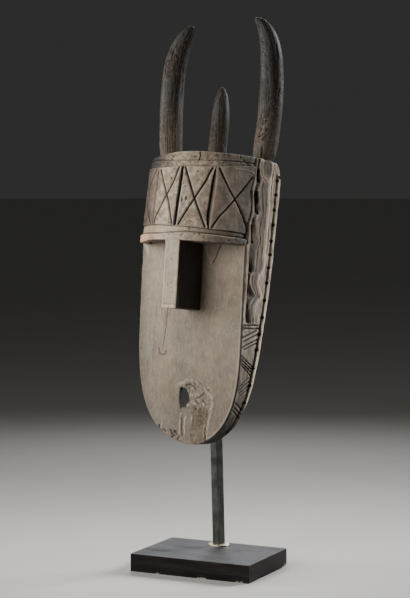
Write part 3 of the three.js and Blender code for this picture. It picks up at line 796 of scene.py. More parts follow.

# %% [markdown]
# ## Colour of the sides
# The sides are dark low down and in every hollow, and paler on the plain wood and along the
# bead. Dirt could be brushed on as a picture. The shares of the marks and the hollows of the
# relief say where it gathers, and cloudy fields keep it from looking even. Part of the colour
# is painted light: painted shade in the hollow and slots in front of the snake and in the
# groove beside the panel, and painted highlights on the bead, the crest of the front ridge
# and the front of the head's rim.

# %% Colour of the sides
def side_colours(x, b, t, rise, shares):
    """Traits of a side from its height, the shares of its marks and cloudy wear, with painted
    shade and painted highlights in places.
    """
    points = np.stack([x, b, t], -1)
    shade, line, body, strand, ridge, cuts = (
        shares[name] for name in ("shade", "line", "body", "strand", "ridge", "cuts"))
    strip, cord, bead, shoulder, nick = (
        shares[name] for name in ("strip", "cord", "bead", "shoulder", "nick"))
    worn_cord = 0.6 + 0.35 * (1 - step(t, 200, 300))
    low, high = relieved(rise, 4, 0.9)
    mottle = rough(points, (9, 9, 26), 2, 35)
    # The bead is paler: rubbed wear in part, and a painted highlight in part.
    bright = step(bead, 1.2, 2.2) * (0.75 + 0.2 * mottle + 0.15 * band(t, 150, 320, 40))
    flat = (1 - np.maximum(body, shade)) * (0.8 + 0.2 * step(t, 190, 215))
    grain = step(rough(points, (3.0, 3.0, 22), 3, 36), 0.25, 0.8) * step(t, 205, 220)
    from_head = head_distance(b, t)
    head = 1 - step(from_head, 0.7, 1.3)
    blotch = rough(points, (6, 6, 14), 3, 38)
    verge = (1 - step(b - snake_start(t), 1, 6)) * step(t, 345, 365)
    # Painted shade in this list: the shade share of the hollow and slots in front of the snake, and
    # the dark line at the side's front edge, in the groove beside the panel.
    dark = np.max([0.7 * low, worn_cord * cord, (0.62 + 0.3 * blotch) * head,
                   0.30 * body * step(t, 370, 410), 0.4 * grain,
                   0.7 * (1 - step(b, 2.6, 3.6)) * step(-t, -346, -340), 0.95 * shade, 0.7 * line,
                   step(cuts, 0.15, 0.6), 0.9 * nick, 0.85 * (1 - step(t, 20, 75)),
                   0.30 * verge, 0.45 * flat * step(-blotch, 0.3, 0.9)], axis=0)
    # Painted highlight: a pale border on the front side of the head's rim only.
    outline = band(from_head, 1.02, 1.16, 0.05)
    outline = outline * (1 - step(b, SNAKE_HEAD[0] - 4, SNAKE_HEAD[0] + 6))
    # Painted highlight along the crest of the snake's front ridge.
    painted_crest_highlight = ridge * step(mottle, -0.8, 0.4)
    rubbed_and_highlight = np.max([0.6 * high, bright, 0.2 * strip, 0.35 * strand, 0.30 * shoulder,
                     0.50 * painted_crest_highlight, 0.5 * outline, 0.35 * flat * step(blotch, 0.3, 0.8)], axis=0)
    brown = 0.12 + 0.4 * body * step(mottle, -0.5, 0.5) + 0.15 * flat * step(mottle, 0, 0.6)
    brown = np.maximum(brown, head)
    pale = 0.14 + 0.60 * flat + 0.30 * strand + 0.08 * mottle + 0.18 * flat * blotch
    pale -= 0.35 * strip * step(b, 4, 9) + 0.35 * verge + 0.30 * shoulder
    pale *= 1 - 0.76 * (1 - step(t, 60, 230))
    pale = np.max([pale, 0.35 * head, 0.30 * body], axis=0)
    return traits(np.maximum(pale, bright), brown, rubbed_and_highlight * (1 - nick), dark)


print("head of the snake from", SNAKE_HEAD[1] - SNAKE_HEAD[3], "mm up")

# %% [markdown]
# ## Walls of the sides
# Each wall follows the outline from the middle of the chin to the crown. It could be drawn as
# a curve and extruded backwards. Rows placed along a path by its length keep the cells even
# round the chin, and the relief grows at a right angle to the path.

# %% Side path
def side_path(side):
    """The outline from the chin up one side as length gone, x, height and outward normal."""
    angle = np.linspace(0, math.pi / 2, 3000)
    t = side["height"] * (1 - np.cos(angle) ** (2 / side["square"]))
    x = side_x(t, side)
    straight = np.linspace(side["height"] + 0.5, TOP, 800)
    t, x = np.append(t, straight), np.append(x, np.full(len(straight), x[-1]))
    gone = length_along(x, t)
    table = np.linspace(0, gone[-1], 4000)
    x, t = np.interp(table, gone, x), np.interp(table, gone, t)
    along_x, along_t = np.gradient(x, table), np.gradient(t, table)
    along_x, along_t = slid(along_x, 41), slid(along_t, 41)
    along_x[0], along_t[0] = side["sign"], 0
    size = np.hypot(along_x, along_t)
    return table, x, t, side["sign"] * along_t / size, -side["sign"] * along_x / size


print("outline from chin to crown:", round(float(side_path(RIGHT)[0][-1])), "mm on the right")

# %% [markdown]
# ## Holes and the finished walls
# The cord holes are small ovals in a row. The rows of the wall lie closer together at each
# hole, so its edge is round without a fine grid everywhere. A wall that was fine all over
# would be as exact there, and about twice as heavy.

# %% Side walls
FRONT_COLUMNS = 56
EVEN_INSET = 26.0
INNER_ROUND = 3.0
FINE_ROWS = 0.7


def side_wall(name, side, pace):
    """The wall up one side: rows along the outline, columns from the panel to the back rim,
    closer together round the holes; the cells within each hole are cut out."""
    table, path_x, path_t, normal_x, normal_t = side_path(side)
    holes = np.interp(HOLE_HEIGHTS, path_t, table)

    def row_space(s):
        """Fine rows across each hole and the given pace elsewhere."""
        near = np.min(np.abs(s[:, None] - holes), axis=1)
        return FINE_ROWS + (pace - FINE_ROWS) * step(near, 3.1, 5.0)

    def column_space(inset):
        """Columns near the rear edge, finest where the holes and the groove lie."""
        return 0.95 - 0.33 * band(inset, 11.4, 18.8, 1.0) + 0.5 * step(inset, 18, 22)

    rows, insets = spaced(0, table[-1], row_space), spaced(0, EVEN_INSET, column_space)
    columns = FRONT_COLUMNS + len(insets)
    s = np.broadcast_to(rows[:, None], (len(rows), columns)).copy()
    t_row = np.interp(rows, table, path_t)
    front_b = 2.6 + (gap_at(t_row) - 7.2) * step(t_row, 345, 353)
    forward = np.linspace(0, 1, FRONT_COLUMNS + 1)[:-1]
    inset = np.empty_like(s)
    ahead = back_at(t_row) - front_b - EVEN_INSET
    inset[:, :FRONT_COLUMNS] = EVEN_INSET + ahead[:, None] * (1 - forward)
    inset[:, FRONT_COLUMNS:] = insets[::-1]
    ring = np.linspace(0, 2 * math.pi, 25)
    kept = np.ones((len(rows) - 1, columns - 1), bool)
    mid_s = (s[:-1, :-1] + s[1:, 1:]) / 2
    mid_inset = (inset[:-1, :-1] + inset[1:, 1:]) / 2
    hole_dark = np.zeros_like(s)
    for hole in holes:
        cut = np.hypot((mid_s - hole) / HOLE_ALONG, (mid_inset - HOLE_INSET) / HOLE_ACROSS) < 1
        kept &= ~cut
        border = hole_border(~cut)
        oval = list(zip(hole + HOLE_ALONG * np.cos(ring), HOLE_INSET + HOLE_ACROSS * np.sin(ring)))
        s[border], inset[border] = pulled_to(s[border], inset[border], oval)
        # The wood is darkened round each hole.
        out = np.hypot((s - hole) / HOLE_ALONG, (inset - HOLE_INSET) / (HOLE_ACROSS + 1.2))
        hole_dark = np.maximum(hole_dark, 1 - step(out, 1.05, 1.5))
    x, t = np.interp(s, table, path_x), np.interp(s, table, path_t)
    out_x, out_t = np.interp(s, table, normal_x), np.interp(s, table, normal_t)
    b = back_at(t) - inset
    rise, shares = side_rise(x, b, t, inset, side["sign"])
    outer_traits = side_colours(x, b, t, rise, shares)
    outer_traits["dark"] = np.maximum(outer_traits["dark"], hole_dark)
    outer = leaned(x + out_x * rise, b, t + out_t * rise)
    marks = 0.5 * rough(np.stack([x, b, t], -1), (24, 24, 30), 2, 23)
    wall = WALL + marks - rounded_off(INNER_ROUND - inset, INNER_ROUND)
    inner = leaned(x - out_x * wall, b, t - out_t * wall)
    inner_traits = traits(0.2, 0.25, 0.25 * (inset < 2.5), 0.15, x.shape)
    return put_wall(name, outer, inner, kept, **paired(outer_traits, inner_traits))


wall_right = side_wall("mask_side_right", RIGHT, 1.55)
wall_left = side_wall("mask_side_left", LEFT, 1.75)

# %% [markdown]
# ## Forehead
# The forehead bulges over the face as half an ellipse that leans outwards. Rows of mouldings
# run round it, crosses are cut into the flat band between them, and deep wedges part one
# cross from the next. Bent bars could be laid round it as mouldings. Here each line is given
# by its height at a few angles, since the carved lines rise and sink as they go round.

# %% Lines of the forehead
LIP_LOW = ((0, 54, 79, 103, 118, 132, 180), (345.5, 346.5, 347, 347.3, 347.2, 345, 345))
LIP_HIGH = ((0, 27, 40, 56, 70, 86, 103, 116, 129, 180),
            (358.5, 358.5, 359.4, 360.8, 362, 361, 358.6, 358.6, 359.5, 360))
BAND_LOW = ((0, 24, 46, 61, 76, 87, 105, 118, 180),
            (366, 368, 368.6, 370, 371.4, 372.2, 373.5, 374.4, 375))
BAND_HIGH = ((0, 12, 30, 40, 55, 79, 94, 107, 118, 130, 180),
             (485, 484, 480.5, 478.5, 475.4, 475.1, 473.8, 472.8, 472.1, 473.2, 474))
RIM_GROOVE = ((0, 51, 60, 75, 90, 101, 116, 126, 180),
              (490, 488, 486.7, 485.6, 485, 485, 486.5, 487, 487))
RIM_TOP = ((0, 20, 32, 52, 61, 71, 80.5, 91, 102.6, 117, 127.6, 132.6, 145, 180),
           (502, 502, 501.6, 501.5, 501.7, 502, 501.8, 500.6, 498.8, 496, 494.5, 494, 492, 493))
CROSSES = [
    (2.7, 0.95, [(112.9, 468.5), (107.8, 450.6), (103, 432.9), (98, 415.4), (94.8, 398),
                 (90.6, 373.8)]),
    (2.7, 0.95, [(89.9, 473.6), (91.4, 464), (93.7, 450.1), (97.3, 436.2), (102.3, 420.7),
                 (107.6, 403.5), (113.7, 386.4), (115.3, 375.1)]),
    (2.3, 0.6, [(116.6, 467), (116.6, 451), (118, 416), (117.8, 376)]),
    (3.1, 1.0, [(83.2, 472.8), (79.9, 459), (76.4, 445.3), (70.2, 419.7), (66.9, 407.9),
                (62.9, 394.5), (56.3, 371.9)]),
    (3.1, 1.0, [(56, 473.7), (58.2, 466.1), (60.2, 454.5), (62.8, 444.7), (68.6, 425.1),
                (73.3, 409.1), (80.6, 384.5), (83.5, 374.1)]),
    (3.3, 1.0, [(49.2, 473.4), (46.7, 466), (42.1, 452.8), (36.7, 438.9), (22.8, 409.1),
                (9.9, 380.8), (5, 370)]),
    (3.3, 1.0, [(11.8, 464.2), (15.7, 455.4), (29.7, 422.7), (37.7, 403), (43, 391.8),
                (47, 379.1), (48.9, 372)]),
    (2.8, 0.9, [(161, 470), (121, 373)]),
    (2.8, 0.9, [(121, 470), (163, 373)])]
WEDGE_T = (371, 377, 392, 444, 461, 473.5)
WEDGES = [((87.4, 87.4, 87.2, 86.4, 86.1, 86), (2.2, 3.6, 3.7, 3.7, 3.4, 2.4)),
          ((52.6, 53.3, 54, 53.5, 53.4, 53.3), (1.8, 3.5, 4.4, 4.4, 3.5, 1.4))]
CURVED_LINE = [(33.7, 475.7), (23.4, 475.7), (16.9, 475.4), (10.7, 472.8), (7.7, 468.7)]
SPOTS = [(70.1, 466, 2.0, 2.0, 3.0), (97.1, 453.1, 1.7, 1.7, 3.0), (78.5, 419.2, 2.2, 4.8, 3.6),
         (82.6, 416.4, 1.8, 5.6, 2.8), (77.2, 431.4, 1.3, 1.3, 1.2), (72.3, 381.6, 1.4, 1.4, 1.2),
         (71.8, 375.6, 1.4, 1.4, 1.2), (68, 377.6, 1.3, 1.3, 1.2), (62.8, 489.4, 1.8, 1.4, 1.6),
         (98.9, 492.1, 2.0, 1.6, 2.0), (100.4, 488.7, 1.7, 1.5, 2.0), (97.3, 495.6, 1.7, 1.5, 2.0),
         (60.2, 486.7, 2.0, 1.4, 1.8), (57.7, 490.5, 1.8, 1.4, 1.8), (70.5, 497.9, 2.0, 1.6, 2.2),
         (45.1, 489, 2.2, 1.6, 1.8), (99.6, 486, 2.2, 1.4, 1.8), (77.5, 411.5, 3, 3, -0.7),
         (79.6, 399.3, 3, 4, -0.7), (73, 404.8, 2.6, 3, -0.7), (82.5, 389.6, 3, 3, -0.7),
         (76.5, 377.9, 3, 3, -0.7), (65.7, 471.3, 4, 1.6, -0.8)]
CRACK_ANGLE = 70.0
CRACK_FOOT = (484, 487)
print(len(CROSSES), "strokes in the crosses,", len(WEDGES), "wedges,", len(SPOTS), "spots")

# %% [markdown]
# ## Measuring round the forehead
# A cut keeps its width in millimetres wherever it lies, while the lines are given in degrees.
# The length round the ellipse has no short formula, so it is added up in small steps.

# %% Round the forehead
FOREHEAD_WALL = 13.0
FOREHEAD_MIDDLE = 420.0
ARC_STEPS = 1999
ANGLES = np.linspace(-10, 190, 801)


def around(angle, t):
    """Millimetres of arc a degree, on the half ellipse: the derivative's length."""
    reach, _, depth = forehead_at(t)
    turn = np.radians(angle)
    return np.hypot(reach * np.sin(turn), depth * np.cos(turn)) * math.pi / 180


ARC_ANGLE = np.linspace(0, 180, ARC_STEPS + 1)
arc_pieces = around(ARC_ANGLE[1:], FOREHEAD_MIDDLE) * 180 / ARC_STEPS
ARC = np.concatenate([[0], np.cumsum(arc_pieces)])


def along_arc(angle):
    """Length round the forehead to an angle, at its middle height."""
    return np.interp(angle, ARC_ANGLE, ARC)


def smooth_angle(angle, knot_angles, values):
    """A value that changes round the forehead: lines through the knots, rounded."""
    return np.interp(angle, ANGLES, slid(np.interp(ANGLES, knot_angles, values), 35))


print("round the forehead:", round(float(ARC[-1]), 1), "mm")

# %% [markdown]
# ## Crosses and wedges
# The crosses are V cuts of even width, as a knife or a chisel leaves, and the wedges are
# broad valleys. Boolean cuts with thin prisms would give sharper edges than worn wood has.
# A depth that falls with the distance to each line is soft at its rim by itself.

# %% Forehead cuts
def forehead_cuts(angle, t, within):
    """Depth and dark of the crosses, each a V cut by its distance along the arc, and of the
    wedges between them, valleys with painted shade darkest on their left and a painted
    highlight just past their right edge."""
    s = along_arc(angle)
    depth, dark = np.zeros_like(t), np.zeros_like(t)
    for half, shade, places in CROSSES:
        chain = [(float(along_arc(a)), height) for a, height in places]
        cut = np.clip(1 - to_lines(s, t, chain) / half, 0, 1) * within
        depth = np.maximum(depth, half * 0.95 * cut)
        dark = np.maximum(dark, shade * step(cut, 0.30, 0.70))
    lip = np.zeros_like(t)
    for centres, halves in WEDGES:
        gap = (s - along_arc(np.interp(t, WEDGE_T, centres))) / np.interp(t, WEDGE_T, halves)
        valley = np.clip(1 - np.abs(gap), 0, 1) * within
        depth = np.maximum(depth, 5.5 * valley ** 0.8)
        # Painted shade: each wedge is darker on its left side, the wall turned from the light.
        dark = np.maximum(dark, step(valley, 0.04, 0.4) * (0.6 + 0.4 * step(gap, -0.5, 0.2)))
        # Painted highlight: a pale line just past the right edge of each wedge, where it faces the
        # light.
        lip = np.maximum(lip, groove(gap + 1.25, 0.3) * within)
    return depth, dark, lip


trial_cut = forehead_cuts(np.array([53.4, 70.0]), np.array([420.0, 440.0]), np.ones(2))[0]
print("depth in a wedge and between the cuts:", np.round(trial_cut, 1), "mm")

# %% [markdown]
# ## Height of the forehead
# The mouldings, cuts, spots, a crack and small flaws add up to one height for each point.
# Displace modifiers could add them one by one, each from a texture of its own. As terms of a
# sum they stay in one place and can be read in order.

# %% Height of the forehead
def forehead_lines(angle):
    """Heights, at an angle, of the lines that bound the lip, the band and the rim."""
    return [smooth_angle(angle, *line)
            for line in (LIP_LOW, LIP_HIGH, BAND_LOW, BAND_HIGH, RIM_GROOVE, RIM_TOP)]


def forehead_plain(angle, t):
    """Points on the half ellipse before any relief, in the mask's own frame."""
    reach, back, depth = forehead_at(t)
    turn = np.radians(angle)
    return np.stack([reach * np.cos(turn), back - depth * np.sin(turn), t], -1)


def forehead_rise(angle, t):
    """Height over the plain band and the share of each mark: mouldings that follow their own
    lines round the forehead, then the cuts, spots, crack and flaws."""
    points = forehead_plain(angle, t)
    lip_low, lip_high, band_low, band_high, rim_groove, rim_top = forehead_lines(angle)
    places = [lip_low - 1, lip_low + 1.8, lip_high - 2.6, lip_high + 0.4, lip_high + 1.8,
              band_low - 2.6, band_low - 1.2, band_low + 0.2, band_high, band_high + 1.4,
              rim_groove - 1.6, rim_groove - 0.2, rim_groove + 0.4, rim_groove + 1.8,
              rim_top - 2.8, rim_top - 0.9, rim_top]
    rise = ladder(t, places, [0.9, 2.5, 2.6, -3.0, -1.6, -1.6, -3.2, 0, 0, -2.4, -2.5, -4.2,
                              -4.2, -2.6, -2.7, -3.6, -5.6])
    rise -= 1.5 * step(angle, 125, 155) * step(t, rim_top - 9, rim_top)
    within = band(t, band_low + 0.8, band_high - 0.8, 1.2)
    cut, dark, lip = forehead_cuts(angle, t, within)
    rise -= cut
    scale = around(angle, t)
    # The pale line past each wedge's right edge is a painted highlight.
    bright = 0.35 * lip
    for place, height, wide, tall, deep in SPOTS:
        spot = groove(np.hypot((angle - place) * scale / wide, (t - height) / tall), 1.0)
        rise -= deep * spot
        dark = np.maximum(dark, spot * min(max(deep, 0) / 2, 1))
        bright = np.maximum(bright, spot * 0.8 * (deep < 0))
    from_crack = (angle - CRACK_ANGLE) * scale + 0.6 * np.sin(t / 2)
    crack = groove(from_crack, 1.2) * step(t, *CRACK_FOOT)
    rise -= 3.0 * crack
    curved_places = [(float(along_arc(a)), height) for a, height in CURVED_LINE]
    curved = groove(to_lines(along_arc(angle), t, curved_places), 1.6)
    rise += 0.6 * curved
    mouldings = 1 - within
    flaw = np.clip(rough(points, (7, 7, 4), 3, 41) - 0.40, 0, 1)
    pitted = step(rough(points, 3.4, 2, 42), 0.55, 0.9) * band(angle, 58, 112, 10)
    rise -= 2.4 * flaw * mouldings + 0.8 * pitted
    rise += 0.25 * rough(points, 22, 2, 43) + 0.14 * rough(points, 3.2, 2, 45)
    rise += 0.12 * rough(points, (2.2, 2.2, 30), 2, 47) * within
    rise += 0.16 * rough(points, (20, 20, 2.4), 2, 48) * mouldings
    crack_edges = groove(np.abs(from_crack) - 2.4, 1.2) * step(t, *CRACK_FOOT)
    return rise, dict(dark=dark, bright=bright, within=within, curved=curved, flaw=flaw,
                      pitted=pitted, crack=crack, crack_edges=crack_edges)


print("crack at", CRACK_ANGLE, "degrees")

# %% [markdown]
# ## Colour of the forehead
# The front is pale, both ends and the hollows are darker, and the lip is warm brown towards
# the left. The ends are partly darker wood and partly painted shade, darkened where they turn
# away from the light, and the middle of the rim and the lip is painted lighter where it faces
# the lamps.

# %% Colour of the forehead
def forehead_colours(angle, t, rise, shares):
    """Traits of the forehead from its height, the shares of its marks and cloudy wear, with
    painted light and shade in places.
    """
    points = forehead_plain(angle, t)
    _, lip_high, band_low, band_high, rim_groove, _ = forehead_lines(angle)
    dark, bright, within, curved = (
        shares[name] for name in ("dark", "bright", "within", "curved"))
    flaw, pitted, crack = shares["flaw"], shares["pitted"], shares["crack"]
    mouldings = 1 - within
    low, high = relieved(rise, 4, 0.8)
    # Painted light and shade: the pale share rises on the front and the middle of the rim and the
    # lip, which face the lamps, and falls towards the right end, which turns away from them, and on
    # the left of the rim and band, against the strong lamp from the left.
    lit = step(angle, 40, 66)
    pale = 0.52 + 0.40 * lit + 0.16 * rough(points, 18, 3, 49)
    upper = mouldings * step(t, 470, 478)
    lower = mouldings * (1 - step(t, 380, 392))
    pale += 0.35 * upper * band(angle, 55, 90, 12) - 0.55 * upper * step(angle, 92, 112)
    pale += 0.30 * lower * step(angle, 50, 75) - 0.20 * within * step(angle, 96, 122)
    painted_shade_left = step(angle, 98, 142) * step(t, 366, 376)
    pale -= 0.62 * painted_shade_left
    pale *= (1 - 0.16 * mouldings) * (0.15 + 0.85 * step(angle, 9, 38))
    brown = 0.04 + 0.18 * step(rough(points, (18, 18, 30), 2, 51), -0.3, 0.4)
    orange = step(angle, 98, 125) * (1 - step(t, lip_high - 2, lip_high + 1))
    warm = step(angle, 92, 122) * (1 - step(t, 385, 440))
    tanned = within * step(angle, 90, 108)
    brown = np.max([brown, 0.95 * orange, 0.55 * warm, 0.42 * tanned], axis=0)
    mottle = step(rough(points, 6, 4, 53), -0.1, 0.5) * (0.25 + 0.75 * band(angle, 60, 110, 10))
    rubbed_and_highlight = np.max([0.5 * high, bright, 0.65 * mottle * within, 0.4 * curved,
                     0.35 * shares["crack_edges"], 0.6 * orange,
                     0.45 * lower * band(angle, 78, 108, 8)], axis=0)
    lines = np.max([groove(t - place, 1.3) for place in
                    (lip_high + 0.6, band_low - 1.0, rim_groove, band_high + 1.2)], axis=0)
    grime = step(rough(points, (5, 5, 3.5), 3, 57), 0.0, 0.6) * (0.14 + 0.26 * mouldings)
    soot = step(rough(points, (13, 13, 16), 3, 58), -0.1, 0.7) * (0.20 + 0.10 * mouldings)
    grime, soot = grime * (1 - 0.6 * lower), soot * (1 - 0.8 * lower)
    dark = np.max([dark, grime, soot, 0.30 * painted_shade_left, 0.7 * low, 0.6 * flaw * mouldings,
                   0.5 * lines, 0.55 * pitted, crack], axis=0)
    return traits(pale, brown, rubbed_and_highlight, dark)


LIP_MIDDLE = (np.full((2, 2), 90.0), np.full((2, 2), 353.0))
lip_rise, lip_shares = forehead_rise(*LIP_MIDDLE)
lip_pale = forehead_colours(*LIP_MIDDLE, lip_rise, lip_shares)["pale"][0, 0]
print("middle of the lip stands out", round(lip_rise[0, 0], 1), "mm, pale", round(lip_pale, 2))

# %% [markdown]
# ## Grid of the forehead
# Columns run round the ellipse at even lengths and rows from the lip to the rim. The worn rim
# and the lip rise and sink, so the first and last rows are stretched onto them. Trimming an
# even grid would leave a stepped edge there.

# %% Forehead grid
def end_angle(t):
    """Angle at which the forehead stops at the dark cut: asin of how far the cut lies in
    front of the ellipse's back line, in depths."""
    _, back, depth = forehead_at(t)
    return np.degrees(np.arcsin((back - gap_at(t)) / depth))


RIM_START = 486.0
LIP_BLEND = 356.0
forehead_t = spaced(LIP_BOTTOM, TOP, lambda t: 1.25 - 0.4 * band(t, 472, 502, 3)
                    - 0.35 * band(t, 346, 374, 2))
FOREHEAD_COLUMNS = 285
COLUMN_SPACING = 1.18
even = np.interp(np.linspace(0, ARC[-1], FOREHEAD_COLUMNS + 1), ARC, ARC_ANGLE) / 180
first = end_angle(forehead_t)[:, None]
band_angle = first + (180 - 2 * first) * even
band_t = np.broadcast_to(forehead_t[:, None], band_angle.shape)
rim_t = smooth_angle(band_angle, *RIM_TOP)
lip_shift = smooth_angle(band_angle, *LIP_LOW) - LIP_BOTTOM
shown_t = band_t + lip_shift * (1 - step(band_t, LIP_BOTTOM, LIP_BLEND))
stretched_t = RIM_START + (band_t - RIM_START) * (rim_t - RIM_START) / (TOP - RIM_START)
shown_t = np.where(band_t > RIM_START, stretched_t, shown_t)
band_rise, band_shares = forehead_rise(band_angle, shown_t)
band_traits = forehead_colours(band_angle, shown_t, band_rise, band_shares)
column = np.arange(FOREHEAD_COLUMNS + 1)
from_end = np.minimum(column, column[::-1]) * COLUMN_SPACING
band_rise -= 4.5 * (1 - step(from_end, 0, 5.0))
band_end = 1 - step(from_end, 3.0, 8.0)
band_traits["pale"] = band_traits["pale"] * (1 - 0.6 * band_end)
band_traits["rubbed_and_highlight"] = band_traits["rubbed_and_highlight"] * (1 - band_end)


def on_forehead(angle, t, rise):
    """A point of the leaning half ellipse grown by rise."""
    reach, back, depth = forehead_at(t)
    turn = np.radians(angle)
    return leaned((reach + rise) * np.cos(turn), back - (depth + rise) * np.sin(turn), t)


band_outer = on_forehead(band_angle, shown_t, band_rise)
inner_rise = -FOREHEAD_WALL + 0.5 * rough(band_outer, (26, 26, 34), 2, 61)
inner_rise += 5.0 * (1 - step(from_end, 0, 9.0))
band_inner = on_forehead(band_angle, np.minimum(shown_t, TOP - 2), inner_rise)
inner_traits = traits(0.2, 0.25, 0, 0.2, band_t.shape)
forehead = put_wall("mask_forehead", band_outer, band_inner,
                    **paired(band_traits, inner_traits))

# %% [markdown]
# ## Crown and shelf
# The hollow is closed above by a crown, nearly flat on top, and below the forehead by a shelf that
# carries the lip out over the face. They could be joined to the walls point by point. Drawn
# in plan as slabs, from the forehead's curve to a line behind, they are simpler, and their
# edges are sunk into the wood round them so that no seam shows.

# %% Crown and shelf
CROWN_PLAN = dict(half=94.0, columns=96, rows=130, sink=7.0)
CROWN_REAR_TOP = 113.0
CROWN_REAR_UNDER = 127.4
SHELF_PLAN = dict(half=93.0, columns=80, rows=110, sink=5.0, rear=11.3)


def plan_grid(half, columns, rows, t, sink, rear):
    """Rows across from side to side, columns from the forehead's curve, sunk by a few
    millimetres, straight back to the rear line."""
    across = np.sin(np.linspace(-1, 1, rows) * math.pi / 2) * half
    reach, back, depth = forehead_at(t)
    inward = np.sqrt(np.clip(1 - (across / (reach - sink + 0.5)) ** 2, 0, 1))
    front = back - (depth - sink) * inward
    share = np.linspace(0, 1, columns)
    x = np.broadcast_to(across[:, None], (rows, columns))
    return x, front[:, None] + (np.maximum(rear, front + 1) - front)[:, None] * share


def crown():
    """A slab whose top domes a little and follows the forehead's rim where that is worn."""
    x, b = plan_grid(t=TOP - 2, rear=CROWN_REAR_TOP, **CROWN_PLAN)
    reach, back, depth = forehead_at(TOP)
    angle = np.degrees(np.arctan2(np.maximum(back - b, 0) / depth, x / reach))
    out = np.hypot(x / reach, np.maximum(back - b, 0) / depth)
    drop = (TOP - smooth_angle(angle, *RIM_TOP)) * step(out, 0.55, 0.93)
    points = np.stack([x, b, np.zeros_like(x)], -1)
    top = TOP - 0.4 - drop - 1.3 * step(out, 0.8, 0.95) + 0.35 * rough(points, 30, 2, 63)
    top += 0.2 * rough(points, (14, 3, 3), 2, 65)
    under_x, under_b = plan_grid(t=CEILING, rear=CROWN_REAR_UNDER, **CROWN_PLAN)
    under = CEILING + 0.5 * rough(points, (26, 26, 34), 2, 67)
    low, high = relieved(top, 5, 0.6)
    top_traits = traits(0.24 + 0 * x, 0.25, 0.25 * high, 0.6 * low)
    return put_wall("mask_crown", leaned(x, b, top), leaned(under_x, under_b, under),
                    **paired(top_traits, traits(0.2, 0.25, 0, 0.2, x.shape)))


def shelf():
    """A slab between the lip and the panel."""
    x, b = plan_grid(t=LIP_BOTTOM, **SHELF_PLAN)
    points = np.stack([x, b, np.zeros_like(x)], -1)
    under = LIP_BOTTOM + 1.0 + 0.25 * rough(points, (9, 16, 9), 2, 69)
    above_x, above_b = plan_grid(t=SHELF_TOP, **SHELF_PLAN)
    above = SHELF_TOP + 0.3 * rough(points, 20, 2, 71)
    return put_wall("mask_shelf", leaned(above_x, above_b, above), leaned(x, b, under),
                    **paired(traits(0.2, 0.25, 0, 0.2, x.shape),
                             traits(0.5, 0.4, 0, 0.25, x.shape)))


crown_slab = crown()
shelf_slab = shelf()

# %% [markdown]
# ## Nose
# The nose is a plain upright slab that stands far out from the panel, about as far as the lip
# above it. Its arrises are rubbed round and its lower end shows pale wood. A cube with a
# bevel would do for the form. Rings stacked up it give the faces enough points for wear.

# %% Nose
NOSE_HALF = 13.6
NOSE_BOTTOM = 231.5
NOSE_TOP = 351.0
NOSE_CORNER = 1.7
NOSE_DEEP = 49.5
NOSE_OUT = 95.0
NOSE_TAPER = 3.0
NOSE_SUNK = 4


def rounded_box(half_u, half_v, corner, count):
    """A loop round a rectangle with rounded corners as offsets from its middle: a quarter
    circle at each corner and evenly spaced points between."""
    loop_u, loop_v = [], []
    for k, (sign_u, sign_v) in enumerate(((1, 1), (-1, 1), (-1, -1), (1, -1))):
        bend = np.linspace(k * math.pi / 2, (k + 1) * math.pi / 2, 9)
        loop_u.append(sign_u * (half_u - corner) + corner * np.cos(bend))
        loop_v.append(sign_v * (half_v - corner) + corner * np.sin(bend))
    u, v = (np.concatenate(part + [part[0][:1]]) for part in (loop_u, loop_v))
    gone = length_along(u, v)
    even_places = np.linspace(0, gone[-1], count + 1)[:-1]
    places = np.unique(np.round(np.concatenate([even_places, gone[:-1]]), 3))
    return np.interp(places, gone, u), np.interp(places, gone, v)


